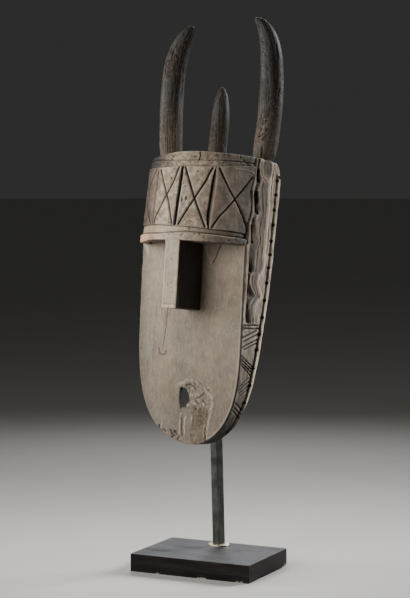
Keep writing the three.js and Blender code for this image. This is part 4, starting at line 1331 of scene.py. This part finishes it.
def nose():
    """Rounded rectangles stacked up the slab, each reaching a little less far out than the one
    below; the lowest rings draw in to round its end."""
    inwards = np.array([11.5, 8.0, 4.0, 1.6, 0.7, 0.2])
    heights = np.array([0.0, 0.0, 0.0, 0.15, 0.6, 1.5])
    t = np.concatenate([NOSE_BOTTOM + heights, np.linspace(NOSE_BOTTOM + 2.6, NOSE_TOP, 86)])
    shrink = np.concatenate([inwards, np.zeros(len(t) - len(inwards))])
    u, v = rounded_box(NOSE_HALF, NOSE_DEEP, NOSE_CORNER, 210)
    out = NOSE_OUT - NOSE_TAPER * (t - NOSE_BOTTOM) / (NOSE_TOP - NOSE_BOTTOM)
    x = NOSE_X + u * (1 - shrink / NOSE_HALF)[:, None]
    ring_v = v * (1 - shrink / NOSE_DEEP)[:, None]
    b = ((NOSE_SUNK - out) / 2)[:, None] + ring_v * (NOSE_SUNK + out)[:, None] / (2 * NOSE_DEEP)
    height = np.broadcast_to(t[:, None], x.shape)
    points = np.stack([x, b, height], -1)
    corner = step(np.abs(u), NOSE_HALF - 3.5, NOSE_HALF - 0.6)
    corner = corner * step(np.abs(v), NOSE_DEEP - 3.5, NOSE_DEEP - 0.5)
    front = step(-v, NOSE_DEEP - 2, NOSE_DEEP - 0.5) + 0 * x
    pits = step(rough(points, 3.0, 2, 74), 0.55, 0.9) * front
    wave = 0.35 * rough(points, 24, 2, 73) + 0.12 * rough(points, (2.4, 2.4, 34), 2, 75)
    wave -= 0.6 * corner * np.clip(rough(points, 6, 2, 77), 0, 1) + 0.5 * pits
    wave = wave * step(np.broadcast_to(shrink[:, None], x.shape), 1.0, 0.2)
    x = x + np.where(np.abs(u) > NOSE_HALF - NOSE_CORNER, np.sign(u), 0.0) * wave
    b = b + np.where(np.abs(v) > NOSE_DEEP - NOSE_CORNER, np.sign(v), 0.0) * wave
    up = height - NOSE_BOTTOM
    cream = front * (1 - step(up, 3.6, 5.0))
    rubbed_and_highlight = np.maximum(0.35 * corner * front, 0.85 * cream)
    brown = front * (0.25 * step(rough(points, (9, 9, 40), 2, 79), -0.1, 0.5)
                     + 0.6 * groove(up - 6.4, 2.0) + 0.5 * corner * (u > 0))
    dark = np.maximum(0.1 * (1 - front), 0.5 * pits)
    return put_rings("mask_nose", leaned(x, b, height),
                     **traits(front, brown, rubbed_and_highlight + 0.25 * front, dark, x.shape))


nose_slab = nose()

# %% [markdown]
# ## Horns
# Three horns stand on the crown. Each is a round bar bent by a smooth curve, full for most of
# its length and quickly pointed at the tip, with long checks in the grain and the small
# tracks of insects. A curve object with a bevel would bend as well, but rings of points can
# take the checks and tracks as real depth.

# %% Horns
HORN_ROOT = 494.0
HORNS = {
    "mask_horn_left": dict(x=-88.5, b=69.0, tip=741.5, radius=20.8, full=9.5, pointed=2,
                           bulge=-5.9, hook=34, late=6.5, forward=11, worn=(-100, 675, 60, 34)),
    # The right horn carries an extra share of painted shade.
    "mask_horn_right": dict(x=85.4, b=83.9, tip=754, radius=21.7, full=3.8, pointed=3.8,
                            bulge=9, hook=-17, late=11.4, forward=11, worn=(-92, 555, 30, 36),
                            darker_tone=0.2),
    "mask_horn_middle": dict(x=-1.2, b=73.4, tip=633.5, radius=16.4, full=5, pointed=1.8,
                             bulge=0, hook=2, late=1, forward=-8, worn=(-60, 620, 40, 14)),
}
HORN_CRACK = (-79, 528)


def horn(name, shape):
    """Rings at share k of the height: middle x + bulge*sin(pi k) + hook*k^late, forward
    likewise, radius * (1 - k^full)^(1/pointed), each point pushed out by the grain. Near the
    root the points are kept within the planes of the mask's sides."""
    k = np.concatenate([np.linspace(0, 0.99, 181), 1 - np.geomspace(0.0075, 0.00002, 10)])
    turn = np.linspace(0, 2 * math.pi, 97)[:-1]
    curl = k ** shape["late"]
    swell = np.sin(math.pi * k)
    root = 0.87 + 0.13 * step(k, 0, 0.17)
    radius = shape["radius"] * root * (1 - k ** shape["full"]) ** (1 / shape["pointed"])
    middle_x = shape["x"] + shape["bulge"] * swell + shape["hook"] * curl
    middle_b = shape["b"] + 3 * swell - shape["forward"] * curl
    t = np.broadcast_to((HORN_ROOT + (shape["tip"] - HORN_ROOT) * k)[:, None], (len(k), len(turn)))
    angle = np.broadcast_to(turn, t.shape)
    local = np.stack([20 * np.cos(angle), 20 * np.sin(angle), t], -1) + shape["x"]
    place, height, wide, tall = shape["worn"]
    aside = (np.degrees(angle) - place + 180) % 360 - 180
    worn = 1 - step(np.hypot(aside / wide, (t - height) / tall), 0.6, 1.2)
    checks = np.clip(np.abs(rough(local, (5, 5, 75), 2, 81)) * 6, 0, 1)
    tracks = np.clip(rough(local, (2.8, 2.8, 6), 2, 83) - 0.25 + 0.15 * worn, 0, 1)
    where = np.maximum(worn, 0.5 * step(rough(local, (30, 30, 60), 2, 85), 0.1, 0.5))
    relief = 0.5 * rough(local, (13, 13, 60), 2, 87) - 0.8 * (1 - checks) - 2.4 * tracks * where
    aside = (np.degrees(angle) - HORN_CRACK[0] + 180) % 360 - 180
    crack = groove(aside * 0.36, 1.6) * (1 - step(t, HORN_CRACK[1] - 8, HORN_CRACK[1]))
    crack = crack * (name == "mask_horn_right")
    relief = (relief - 2.4 * crack) * step(radius, 4.0, 13.0)[:, None]
    size = np.maximum(radius[:, None] + relief, 0.05)
    x = middle_x[:, None] + size * np.cos(angle)
    b = middle_b[:, None] + size * np.sin(angle)
    outward = 0.9 * np.clip(t - TOP, 0, 60) - 1.2
    x = np.clip(x, side_x(TOP, LEFT) - outward, side_x(TOP, RIGHT) + outward)
    low, high = relieved(relief, 3, 0.8)
    brown = 0.15 + 0.7 * worn * step(rough(local, (4, 4, 9), 3, 89), 0.0, 0.5)
    flecks = step(rough(local, (3.4, 3.4, 5), 2, 84), 0.45, 0.8) * (0.25 + 0.75 * where)
    specks = step(rough(local, (1.9, 1.9, 3.2), 2, 82), 0.35, 0.7) * (0.35 + 0.65 * where)
    rubbed_and_highlight = np.max([0.15 * high, 0.6 * flecks, 0.75 * specks], axis=0)
    pits = step(rough(local, (2.4, 2.4, 4), 2, 92), 0.45, 0.75) * (0.3 + 0.6 * where)
    # Painted shade: the horns are darkened towards their tips, and the right horn all over,
    # standing in for shade.
    shaded = 0.62 * step(t, shape["tip"] - 230, shape["tip"] - 90) + shape.get("darker_tone", 0)
    foot = 1 - step(t, 510, 620)
    clouds = 0.35 * step(rough(local, (9, 9, 22), 3, 90), -0.1, 0.6)
    shaded = np.max([shaded, pits, clouds], axis=0)
    return put_rings(name, leaned(x, b, t),
                     **traits(0.03 + 0.08 * worn + 0.16 * foot, brown, rubbed_and_highlight,
                              np.max([0.6 * low, crack, tracks * where, shaded], axis=0)))


horns = [horn(name, shape) for name, shape in HORNS.items()]

# %% [markdown]
# ## Post and collar
# The mask stands on a square steel bar that leans a little, with a thin round plate at its
# foot. A cube and a cylinder would nearly do. Rings of points give both their small rounded
# edges, which catch the light, and cut the bar's top to the slope of the crown.

# %% Post and collar
BLOCK = (115.0, 81.5, 31.6)
POST_FOOT = (-7.0, 55.0, BLOCK[2] + 0.3)
POST_TURN = math.radians(-19)
POST_LEAN = math.radians(1.4)
POST_LEAN_AXIS = np.array([0.4376, -0.8992, 0]) / math.hypot(0.4376, 0.8992)
COLLAR_RADIUS = 19.0
POST_CLEARANCE = 0.8
POST_HALF = 8.0
POST_CORNER = 0.9
COLLAR_HOLE = 8.3


def turned(points, axis, angle):
    """Points turned about an axis through the origin, by Rodrigues' formula."""
    along = points @ axis
    return (points * math.cos(angle) + np.cross(axis, points) * math.sin(angle)
            + along[..., None] * axis * (1 - math.cos(angle)))


def height_on_mask(points):
    """Height in the mask's own frame of points in the room, the way back from leaned."""
    cos, sin = math.cos(MASK_LEAN), math.sin(MASK_LEAN)
    return (points[..., 1] - MASK_PLACE[1]) * sin + (points[..., 2] - MASK_PLACE[2]) * cos


def post():
    """Rounded squares stacked along the bar, each turned corner-on; the foot is cut level and
    the top at the slope of the crown's inside."""
    u, v = rounded_box(POST_HALF, POST_HALF, POST_CORNER, 56)
    share = np.concatenate([[0, 0, 0, 0.0006], np.linspace(0.004, 0.996, 90), [0.9994, 1, 1, 1]])
    shrink = np.array([0.2, 0.7, 0.96] + [1.0] * (len(share) - 6) + [0.96, 0.7, 0.2])
    flat = np.stack([shrink[:, None] * u, shrink[:, None] * v, np.zeros((len(share), len(u)))], -1)
    flat = turned(flat, np.array([0, 0, 1.0]), POST_TURN)
    low = turned(flat, POST_LEAN_AXIS, POST_LEAN) + POST_FOOT
    axis = turned(np.array([0, 0, 1.0]), POST_LEAN_AXIS, POST_LEAN)
    to_floor = (POST_FOOT[2] - low[..., 2]) / axis[2]
    climb = axis[1] * math.sin(MASK_LEAN) + axis[2] * math.cos(MASK_LEAN)
    to_crown = (CEILING - POST_CLEARANCE - height_on_mask(low)) / climb
    reach = to_floor + (to_crown - to_floor) * share[:, None]
    return put_rings("stand_post", low + reach[..., None] * axis)


def collar():
    """A flat ring: the section's corners are rounded, its inner loop is the square hole and
    its outer loop a circle."""
    count = 96
    turn = np.linspace(0, 2 * math.pi, count + 1)[:-1]
    square = COLLAR_HOLE / np.maximum(np.abs(np.cos(turn)), np.abs(np.sin(turn)))
    section = [(0, 0.0), (0.4, 0.0), (0.97, 0.0), (1.0, 0.35), (1.0, 1.3), (0.985, 1.85),
               (0.94, 2.2), (0.5, 2.2), (0.08, 2.2), (0.0, 2.1), (0.0, 1.1)]
    rings = []
    for out, height in section:
        radius = square + (COLLAR_RADIUS - square) * out
        rings.append(np.stack([radius * np.cos(turn + POST_TURN), radius * np.sin(turn + POST_TURN),
                               np.full(count, height)], -1))
    return put_rings("stand_collar", np.array(rings) + POST_FOOT, closed_along=True)


stand_post = post()
stand_collar = collar()

# %% [markdown]
# ## Block
# The block is low and black, polished on top and knocked along its lower edges. A bevelled
# cube could be dented with a brush. Here each knock has its place and size in a list, and the
# points near it are pushed in, so the pale wood in it can be coloured by the same number.

# %% Block
CHIPS = [(-62, -81.5, 0, 3.4), (24, -81.5, 0, 4.0), (31, -81.5, 0, 3.0), (17, -81.5, 0, 2.6),
         (92, -81.5, 0, 3.6), (100, -81.5, 0, 3.8), (115, 76, 1, 5.0), (115, 66, 0, 3.0)]


def block():
    """Rounded rectangles stacked up the block, drawing in at top and bottom; the points near
    each chip are pushed in."""
    u, v = rounded_box(BLOCK[0], BLOCK[1], 1.0, 520)
    profile = [(40, 0), (20, 0), (8, 0), (3, 0), (1.0, 0), (0.35, 0.1), (0.1, 0.35), (0, 0.9)]
    rise = [(0, z) for z in np.linspace(1.6, BLOCK[2] - 1.4, 26)]
    top = [(0, BLOCK[2] - 0.8), (0.12, BLOCK[2] - 0.35), (0.4, BLOCK[2] - 0.08)]
    top += [(inward, BLOCK[2]) for inward in (1.0, 2.0, 4, 8, 16, 30, 50, 70)]
    rings = []
    for inward, z in profile + rise + top:
        rings.append(np.stack([u * (1 - inward / BLOCK[0]), v * (1 - inward / BLOCK[1]),
                               np.full(len(u), z)], -1))
    rings = np.array(rings, float)
    chipped = np.zeros(rings.shape[:2])
    for x, y, z, size in CHIPS:
        away = np.linalg.norm((rings - (x, y, z)) / (1.5, 1.5, 1.0), axis=-1)
        away = away * (1 + 0.35 * rough(rings, 2.2, 2, 91))
        chip = step(-away, -size, -size * 0.45)
        rings[..., :2] -= chip[..., None] * 0.4 * size * np.array(
            [0.8 * (abs(x) > 110), -0.8 * (abs(y) > 80)])
        chipped = np.maximum(chipped, chip)
    side = step(rings[..., 2], 0.3, 2.0) * (1 - step(rings[..., 2], 29.6, 31.3))
    upper = step(rings[..., 2], BLOCK[2] - 0.6, BLOCK[2] - 0.1)
    wave = 0.12 * rough(rings, (40, 40, 14), 2, 93) * side
    rings[..., 1] -= wave * (np.abs(rings[..., 1]) > 80)
    return put_rings("stand_block", rings, chipped=chipped, upper=upper)


stand = block()

# %% [markdown]
# ## Materials
# A finish is a small tree of nodes: patterns, colours mixed by them, and a gloss. It could be
# painted as pictures and wrapped round each piece. Patterns worked out from the place in
# space need no wrapping, and run on from piece to piece without a seam. A few short calls
# keep each tree readable.

# %% Material helpers
def linear(red, green, blue):
    """A colour given as screen values 0-255, as the shader's linear numbers."""
    share = np.array([red, green, blue]) / 255
    result = np.where(share <= 0.04045, share / 12.92, ((share + 0.055) / 1.055) ** 2.4)
    return (*[float(value) for value in result], 1.0)


class Paint:
    """A material's node tree, built by short calls."""

    def __init__(self, name):
        self.material = bpy.data.materials.new(name)
        self.material.use_nodes = True
        self.tree = self.material.node_tree
        self.shader = self.tree.nodes["Principled BSDF"]
        self.place = self.node("ShaderNodeTexCoord").outputs["Object"]

    def node(self, kind, **values):
        """Adds a node and sets its own values."""
        made = self.tree.nodes.new(kind)
        for name, value in values.items():
            setattr(made, name, value)
        return made

    def feed(self, socket, value):
        """Links an output to an input, or sets the input to a plain value."""
        if isinstance(value, bpy.types.NodeSocket):
            self.tree.links.new(value, socket)
        else:
            socket.default_value = value

    def trait(self, name):
        """A number that the mesh carries at its points."""
        return self.node("ShaderNodeAttribute", attribute_name=name).outputs["Fac"]

    def moved(self, scale, turn=(0, 0, 0), place=(0, 0, 0)):
        """Object coordinates stretched, turned and shifted."""
        mapping = self.node("ShaderNodeMapping")
        self.feed(mapping.inputs["Vector"], self.place)
        mapping.inputs["Location"].default_value = place
        mapping.inputs["Rotation"].default_value = turn
        mapping.inputs["Scale"].default_value = scale
        return mapping.outputs["Vector"]

    def noise(self, vector, scale, detail, rough, twist=0.0):
        """Cloudy noise between 0 and 1."""
        made = self.node("ShaderNodeTexNoise")
        self.feed(made.inputs["Vector"], vector)
        for name, value in (("Scale", scale), ("Detail", detail), ("Roughness", rough),
                            ("Distortion", twist)):
            made.inputs[name].default_value = value
        return made.outputs["Fac"]

    def spread(self, value, low, high, to_low=0.0, to_high=1.0):
        """Maps low to to_low and high to to_high, held at both ends."""
        made = self.node("ShaderNodeMapRange")
        self.feed(made.inputs["Value"], value)
        for name, number in (("From Min", low), ("From Max", high), ("To Min", to_low),
                             ("To Max", to_high)):
            made.inputs[name].default_value = number
        return made.outputs["Result"]

    def math(self, operation, one, two):
        """A sum or product of two values."""
        made = self.node("ShaderNodeMath", operation=operation)
        self.feed(made.inputs[0], one)
        self.feed(made.inputs[1], two)
        return made.outputs["Value"]

    def mix(self, share, one, two):
        """A colour between two others, the second one at share 1."""
        made = self.node("ShaderNodeMix", data_type="RGBA")
        self.feed(made.inputs["Factor"], share)
        self.feed(made.inputs["A"], one)
        self.feed(made.inputs["B"], two)
        return made.outputs["Result"]

    def bump(self, height, strength, distance, under=None):
        """A normal tilted by a height, laid over another bump if one is given."""
        made = self.node("ShaderNodeBump")
        self.feed(made.inputs["Strength"], strength)
        made.inputs["Distance"].default_value = distance
        self.feed(made.inputs["Height"], height)
        if under is not None:
            self.feed(made.inputs["Normal"], under)
        return made.outputs["Normal"]


print("middle grey as linear numbers:", np.round(linear(128, 128, 128), 3))

# %% [markdown]
# ## Finish of the wood
# The face and forehead have a pale coat, brown where it is rubbed. The horns are dark wood,
# and the sides lie between the two. One material could be made for each, but the change from
# one to the other is gradual, so the traits of each point mix the coats in a single one.
# Fine noises stretched along the grain break up every colour.

# %% Wood
def wood():
    """Dark wood under a pale coat, mixed by the traits, with grain along the mask's height."""
    paint = Paint("carved_wood")
    lean = (MASK_LEAN, 0, 0)
    grain = paint.noise(paint.moved((1, 1, 0.05), lean), 520, 5, 0.6)
    streak = paint.noise(paint.moved((1, 1, 0.12), lean), 110, 4, 0.6, 0.6)
    patch = paint.noise(paint.place, 26, 5, 0.6)
    hue = paint.noise(paint.moved((1, 1, 0.7), lean, (3, 1, 7)), 15, 4, 0.6)
    cloudy = paint.noise(paint.moved((1, 1, 0.6), lean, (9, 4, 2)), 75, 5, 0.65)
    fleck = paint.noise(paint.moved((1, 1, 0.7), lean, (5, 8, 1)), 240, 4, 0.65)
    speck = paint.noise(paint.place, 560, 3, 0.6)
    pale, brown = paint.trait("pale"), paint.trait("brown")
    rubbed_and_highlight, dark = paint.trait("rubbed_and_highlight"), paint.trait("dark")

    bare = paint.mix(paint.spread(streak, 0.35, 0.65), linear(31, 26, 22), linear(56, 48, 41))
    bare = paint.mix(paint.spread(fleck, 0.54, 0.70, 0.0, 0.5), bare, linear(84, 73, 60))
    coat = paint.mix(paint.spread(hue, 0.34, 0.66), linear(166, 158, 143), linear(184, 164, 147))
    coat = paint.mix(paint.spread(patch, 0.44, 0.66, 0.0, 0.45), coat, linear(196, 181, 160))
    coat = paint.mix(paint.spread(fleck, 0.50, 0.66, 0.0, 0.55), coat, linear(202, 192, 172))
    coat = paint.mix(paint.spread(cloudy, 0.48, 0.66, 0.0, 0.5), coat, linear(142, 133, 118))
    coat = paint.mix(paint.spread(streak, 0.48, 0.70, 0.0, 0.30), coat, linear(142, 130, 114))
    worn = paint.mix(paint.spread(patch, 0.40, 0.62), linear(122, 101, 80), linear(156, 124, 94))
    colour = paint.mix(pale, bare, coat)
    share = paint.math("MULTIPLY", brown, paint.spread(pale, 0.0, 0.6, 0.35, 0.9))
    colour = paint.mix(share, colour, paint.mix(pale, linear(84, 62, 46), worn))
    light = paint.mix(brown, linear(216, 205, 184), linear(226, 184, 146))
    colour = paint.mix(rubbed_and_highlight, colour, paint.mix(pale, linear(150, 142, 130), light))
    colour = paint.mix(dark, colour, linear(15, 12, 10))
    fine = paint.math("MULTIPLY", paint.spread(grain, 0.42, 0.62, 0.0, 0.32),
                      paint.spread(pale, 0.3, 1.0, 1.0, 0.4))
    colour = paint.mix(fine, colour, paint.mix(0.62, colour, linear(24, 20, 16)))
    colour = paint.mix(paint.spread(speck, 0.60, 0.74, 0.0, 0.30), colour, linear(58, 50, 42))
    paint.feed(paint.shader.inputs["Base Color"], colour)
    gloss = paint.spread(pale, 0.06, 0.13, 0.60, 0.78)
    paint.feed(paint.shader.inputs["Specular IOR Level"], paint.spread(pale, 0.06, 0.13, 0.30, 0.2))
    paint.feed(paint.shader.inputs["Roughness"],
               paint.math("ADD", gloss, paint.spread(patch, 0.3, 0.7, -0.06, 0.08)))
    small = paint.bump(grain, paint.spread(pale, 0.05, 0.3, 0.05, 0.2), 0.0005)
    small = paint.bump(speck, paint.spread(pale, 0.05, 0.3, 0.08, 0.25), 0.0005, small)
    paint.feed(paint.shader.inputs["Normal"], paint.bump(streak, 0.15, 0.0008, small))
    return paint.material


carved_wood = wood()
print("wood:", len(carved_wood.node_tree.nodes), "nodes")

# %% [markdown]
# ## Metals of the stand
# The bar is dull steel and the plate a paler metal. A plain grey would look like plastic, so
# fine draw lines and soft clouds of tarnish break up what they reflect. The two metals differ
# only in their numbers, so one function makes both.

# %% Steel and brass
def metal(name, darker_tone, bright, rough, along):
    """Bare metal with fine draw lines and soft clouds of tarnish."""
    paint = Paint(name)
    lines = paint.noise(paint.moved(along), 900, 3, 0.6)
    cloud = paint.noise(paint.place, 42, 4, 0.6)
    colour = paint.mix(paint.spread(cloud, 0.36, 0.66), linear(*darker_tone), linear(*bright))
    paint.feed(paint.shader.inputs["Base Color"], colour)
    paint.shader.inputs["Metallic"].default_value = 0.9
    paint.feed(paint.shader.inputs["Roughness"],
               paint.math("ADD", paint.spread(cloud, 0.3, 0.7, rough, rough + 0.14),
                          paint.spread(lines, 0.3, 0.7, -0.05, 0.05)))
    paint.feed(paint.shader.inputs["Normal"], paint.bump(lines, 0.12, 0.0003))
    return paint.material


post_steel = metal("post_steel", (54, 56, 51), (88, 90, 83), 0.36, (1, 1, 0.04))
collar_brass = metal("collar_brass", (176, 166, 144), (236, 228, 204), 0.42, (0.2, 1, 1))
print("metals:", post_steel.name, "and", collar_brass.name)

# %% [markdown]
# ## Black of the block
# The block is black and streaky, and its top is polished. A plain black would hide its shape.
# Streaks on the sides, dust and a painted sheen of lighter grey on the top, and pale wood in
# the knocks tell its faces apart, and two numbers at its points say which is which.

# %% Black of the block
def black():
    """Black stained wood, polished on top with a painted sheen of lighter grey, streaky, with
    pale wood in the chips.
    """
    paint = Paint("block_black")
    streak = paint.noise(paint.moved((0.10, 1, 1)), 60, 4, 0.6, 0.5)
    fine = paint.noise(paint.moved((0.05, 1, 1)), 420, 4, 0.6)
    cloud = paint.noise(paint.place, 14, 3, 0.6)
    chipped = paint.trait("chipped")
    upper = paint.trait("upper")
    colour = paint.mix(paint.spread(streak, 0.35, 0.65), linear(22, 20, 20), linear(40, 37, 37))
    colour = paint.mix(paint.spread(fine, 0.56, 0.72, 0.0, 0.4), colour, linear(74, 70, 68))
    # Painted sheen: the top is coloured a lighter grey than the sides, with dust specks and darker
    # clouds.
    top_sheen_and_dust = paint.mix(paint.spread(fine, 0.46, 0.70), linear(34, 34, 36), linear(96, 96, 98))
    dust = paint.noise(paint.place, 620, 3, 0.7)
    top_sheen_and_dust = paint.mix(paint.spread(dust, 0.62, 0.76, 0.0, 0.5), top_sheen_and_dust, linear(150, 150, 150))
    top_sheen_and_dust = paint.mix(paint.spread(cloud, 0.46, 0.64, 0.0, 0.55), top_sheen_and_dust, linear(26, 26, 28))
    colour = paint.mix(upper, colour, top_sheen_and_dust)
    colour = paint.mix(paint.spread(chipped, 0.35, 0.75), colour, linear(158, 150, 136))
    paint.feed(paint.shader.inputs["Base Color"], colour)
    paint.feed(paint.shader.inputs["Specular IOR Level"], paint.spread(upper, 0, 1, 0.05, 0.5))
    paint.feed(paint.shader.inputs["Roughness"],
               paint.math("ADD", paint.spread(cloud, 0.35, 0.65, 0.34, 0.46),
                          paint.spread(streak, 0.3, 0.7, -0.03, 0.08)))
    paint.feed(paint.shader.inputs["Normal"], paint.bump(fine, 0.10, 0.0004))
    return paint.material


block_black = black()
print("black:", len(block_black.node_tree.nodes), "nodes")

# %% [markdown]
# ## Dressing the pieces
# Every piece gets its finish and its place in the frame: the body it rides on and the node of
# the model that it replaces, which is hidden. Writing this out for each piece would say the
# same thing thirteen times, so a list holds what differs and one loop does the rest.

# %% Dress the pieces
MASK_PIECES = [face, wall_right, wall_left, forehead, crown_slab, shelf_slab, nose_slab, *horns]
DRESS = [(piece, "mask", "carved_wood", carved_wood) for piece in MASK_PIECES]
DRESS += [(stand_post, "post", "post_steel", post_steel),
          (stand_collar, "post_collar", "collar_brass", collar_brass),
          (stand, "stand_block", "block_black", block_black)]
for piece, node, slot, material in DRESS:
    piece.data.materials.append(material)
    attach(piece, "root")
    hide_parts(node)
print(len(DRESS), "pieces dressed")

# %% [markdown]
# ## Floor
# The object stands on a plain pale floor that runs far back. A single square would do in the
# picture. A round sheet whose rings widen outwards is just as flat and reaches as far on
# every side, from wherever it is looked at.

# %% Floor
def floor():
    """A round sheet: rings of points, each wider than the one before by the same factor."""
    turn = np.linspace(0, 2 * math.pi, 97)[:-1]
    radius = np.geomspace(50, 40000, 24)[:, None]
    x, y = radius * np.cos(turn), radius * np.sin(turn)
    rings = np.stack([x, y, np.zeros_like(x)], -1)
    points = np.concatenate([rings.reshape(-1, 3), [[0, 0, 0]]])
    index, after, quads = ring_quads(*rings.shape[:2])
    fan = np.stack([np.full(len(turn), len(points) - 1), index[0], after[0]], -1)
    mesh = bpy.data.meshes.new("floor")
    mesh.from_pydata((points * MM).tolist(), [], quads[:, ::-1].tolist() + fan.tolist())
    mesh.update()
    made = bpy.data.objects.new("floor", mesh)
    bpy.context.scene.collection.objects.link(made)
    return made


ground = floor()
paper = Paint("pale_floor")
paper_cloud = paper.noise(paper.place, 3, 3, 0.5)
paper.feed(paper.shader.inputs["Base Color"],
           paper.mix(paper.spread(paper_cloud, 0.3, 0.7), linear(205, 203, 199),
                     linear(211, 209, 205)))
paper.shader.inputs["Roughness"].default_value = 0.75
ground.data.materials.append(paper.material)
print("floor", len(ground.data.polygons), "faces")

# %% [markdown]
# ## Light
# The picture is lit by a large soft light from the front left. One lamp alone would leave the
# far side black, so three more help: one from behind on the right draws the edge of the side
# wall, one from the left lights the left edge, and one high behind lights the tops. A faint
# even sky keeps the deepest shadows from going black.

# %% Light
def lamp(name, place, target, size, power, colour, spread):
    """A rectangular soft light that faces a target; places in metres, spread in degrees."""
    light = bpy.data.lights.new(name, "AREA")
    light.shape = "RECTANGLE"
    light.size, light.size_y = size
    light.energy = power
    light.color = colour
    light.spread = math.radians(spread)
    made = bpy.data.objects.new(name, light)
    bpy.context.scene.collection.objects.link(made)
    made.location = place
    made.rotation_euler = (Vector(target) - Vector(place)).to_track_quat("-Z", "Y").to_euler()
    return made


WARM, COOL, COLD = (1.0, 0.965, 0.92), (0.99, 0.99, 1.0), (0.97, 0.98, 1.0)
lamps = [
    lamp("key", (-0.62, -2.4, 1.25), (0, -0.05, 0.82), (1.1, 1.5), 20.5, WARM, 110),
    lamp("rim", (1.5, 2.0, 1.5), (0.05, 0.0, 0.30), (0.7, 1.2), 6.8, COOL, 36),
    lamp("edge", (-2.3, -0.7, 1.1), (0, 0.0, 0.78), (0.8, 1.2), 8, COOL, 60),
    lamp("high", (-0.9, 2.2, 2.1), (0, 0.0, 0.2), (1.4, 0.7), 10, COLD, 80)]
world = bpy.data.worlds.new("studio")
bpy.context.scene.world = world
world.use_nodes = True
sky = world.node_tree.nodes["Background"]
sky.inputs["Color"].default_value = (0.80, 0.80, 0.79, 1)
sky.inputs["Strength"].default_value = 0.04
print(len(lamps), "lamps")
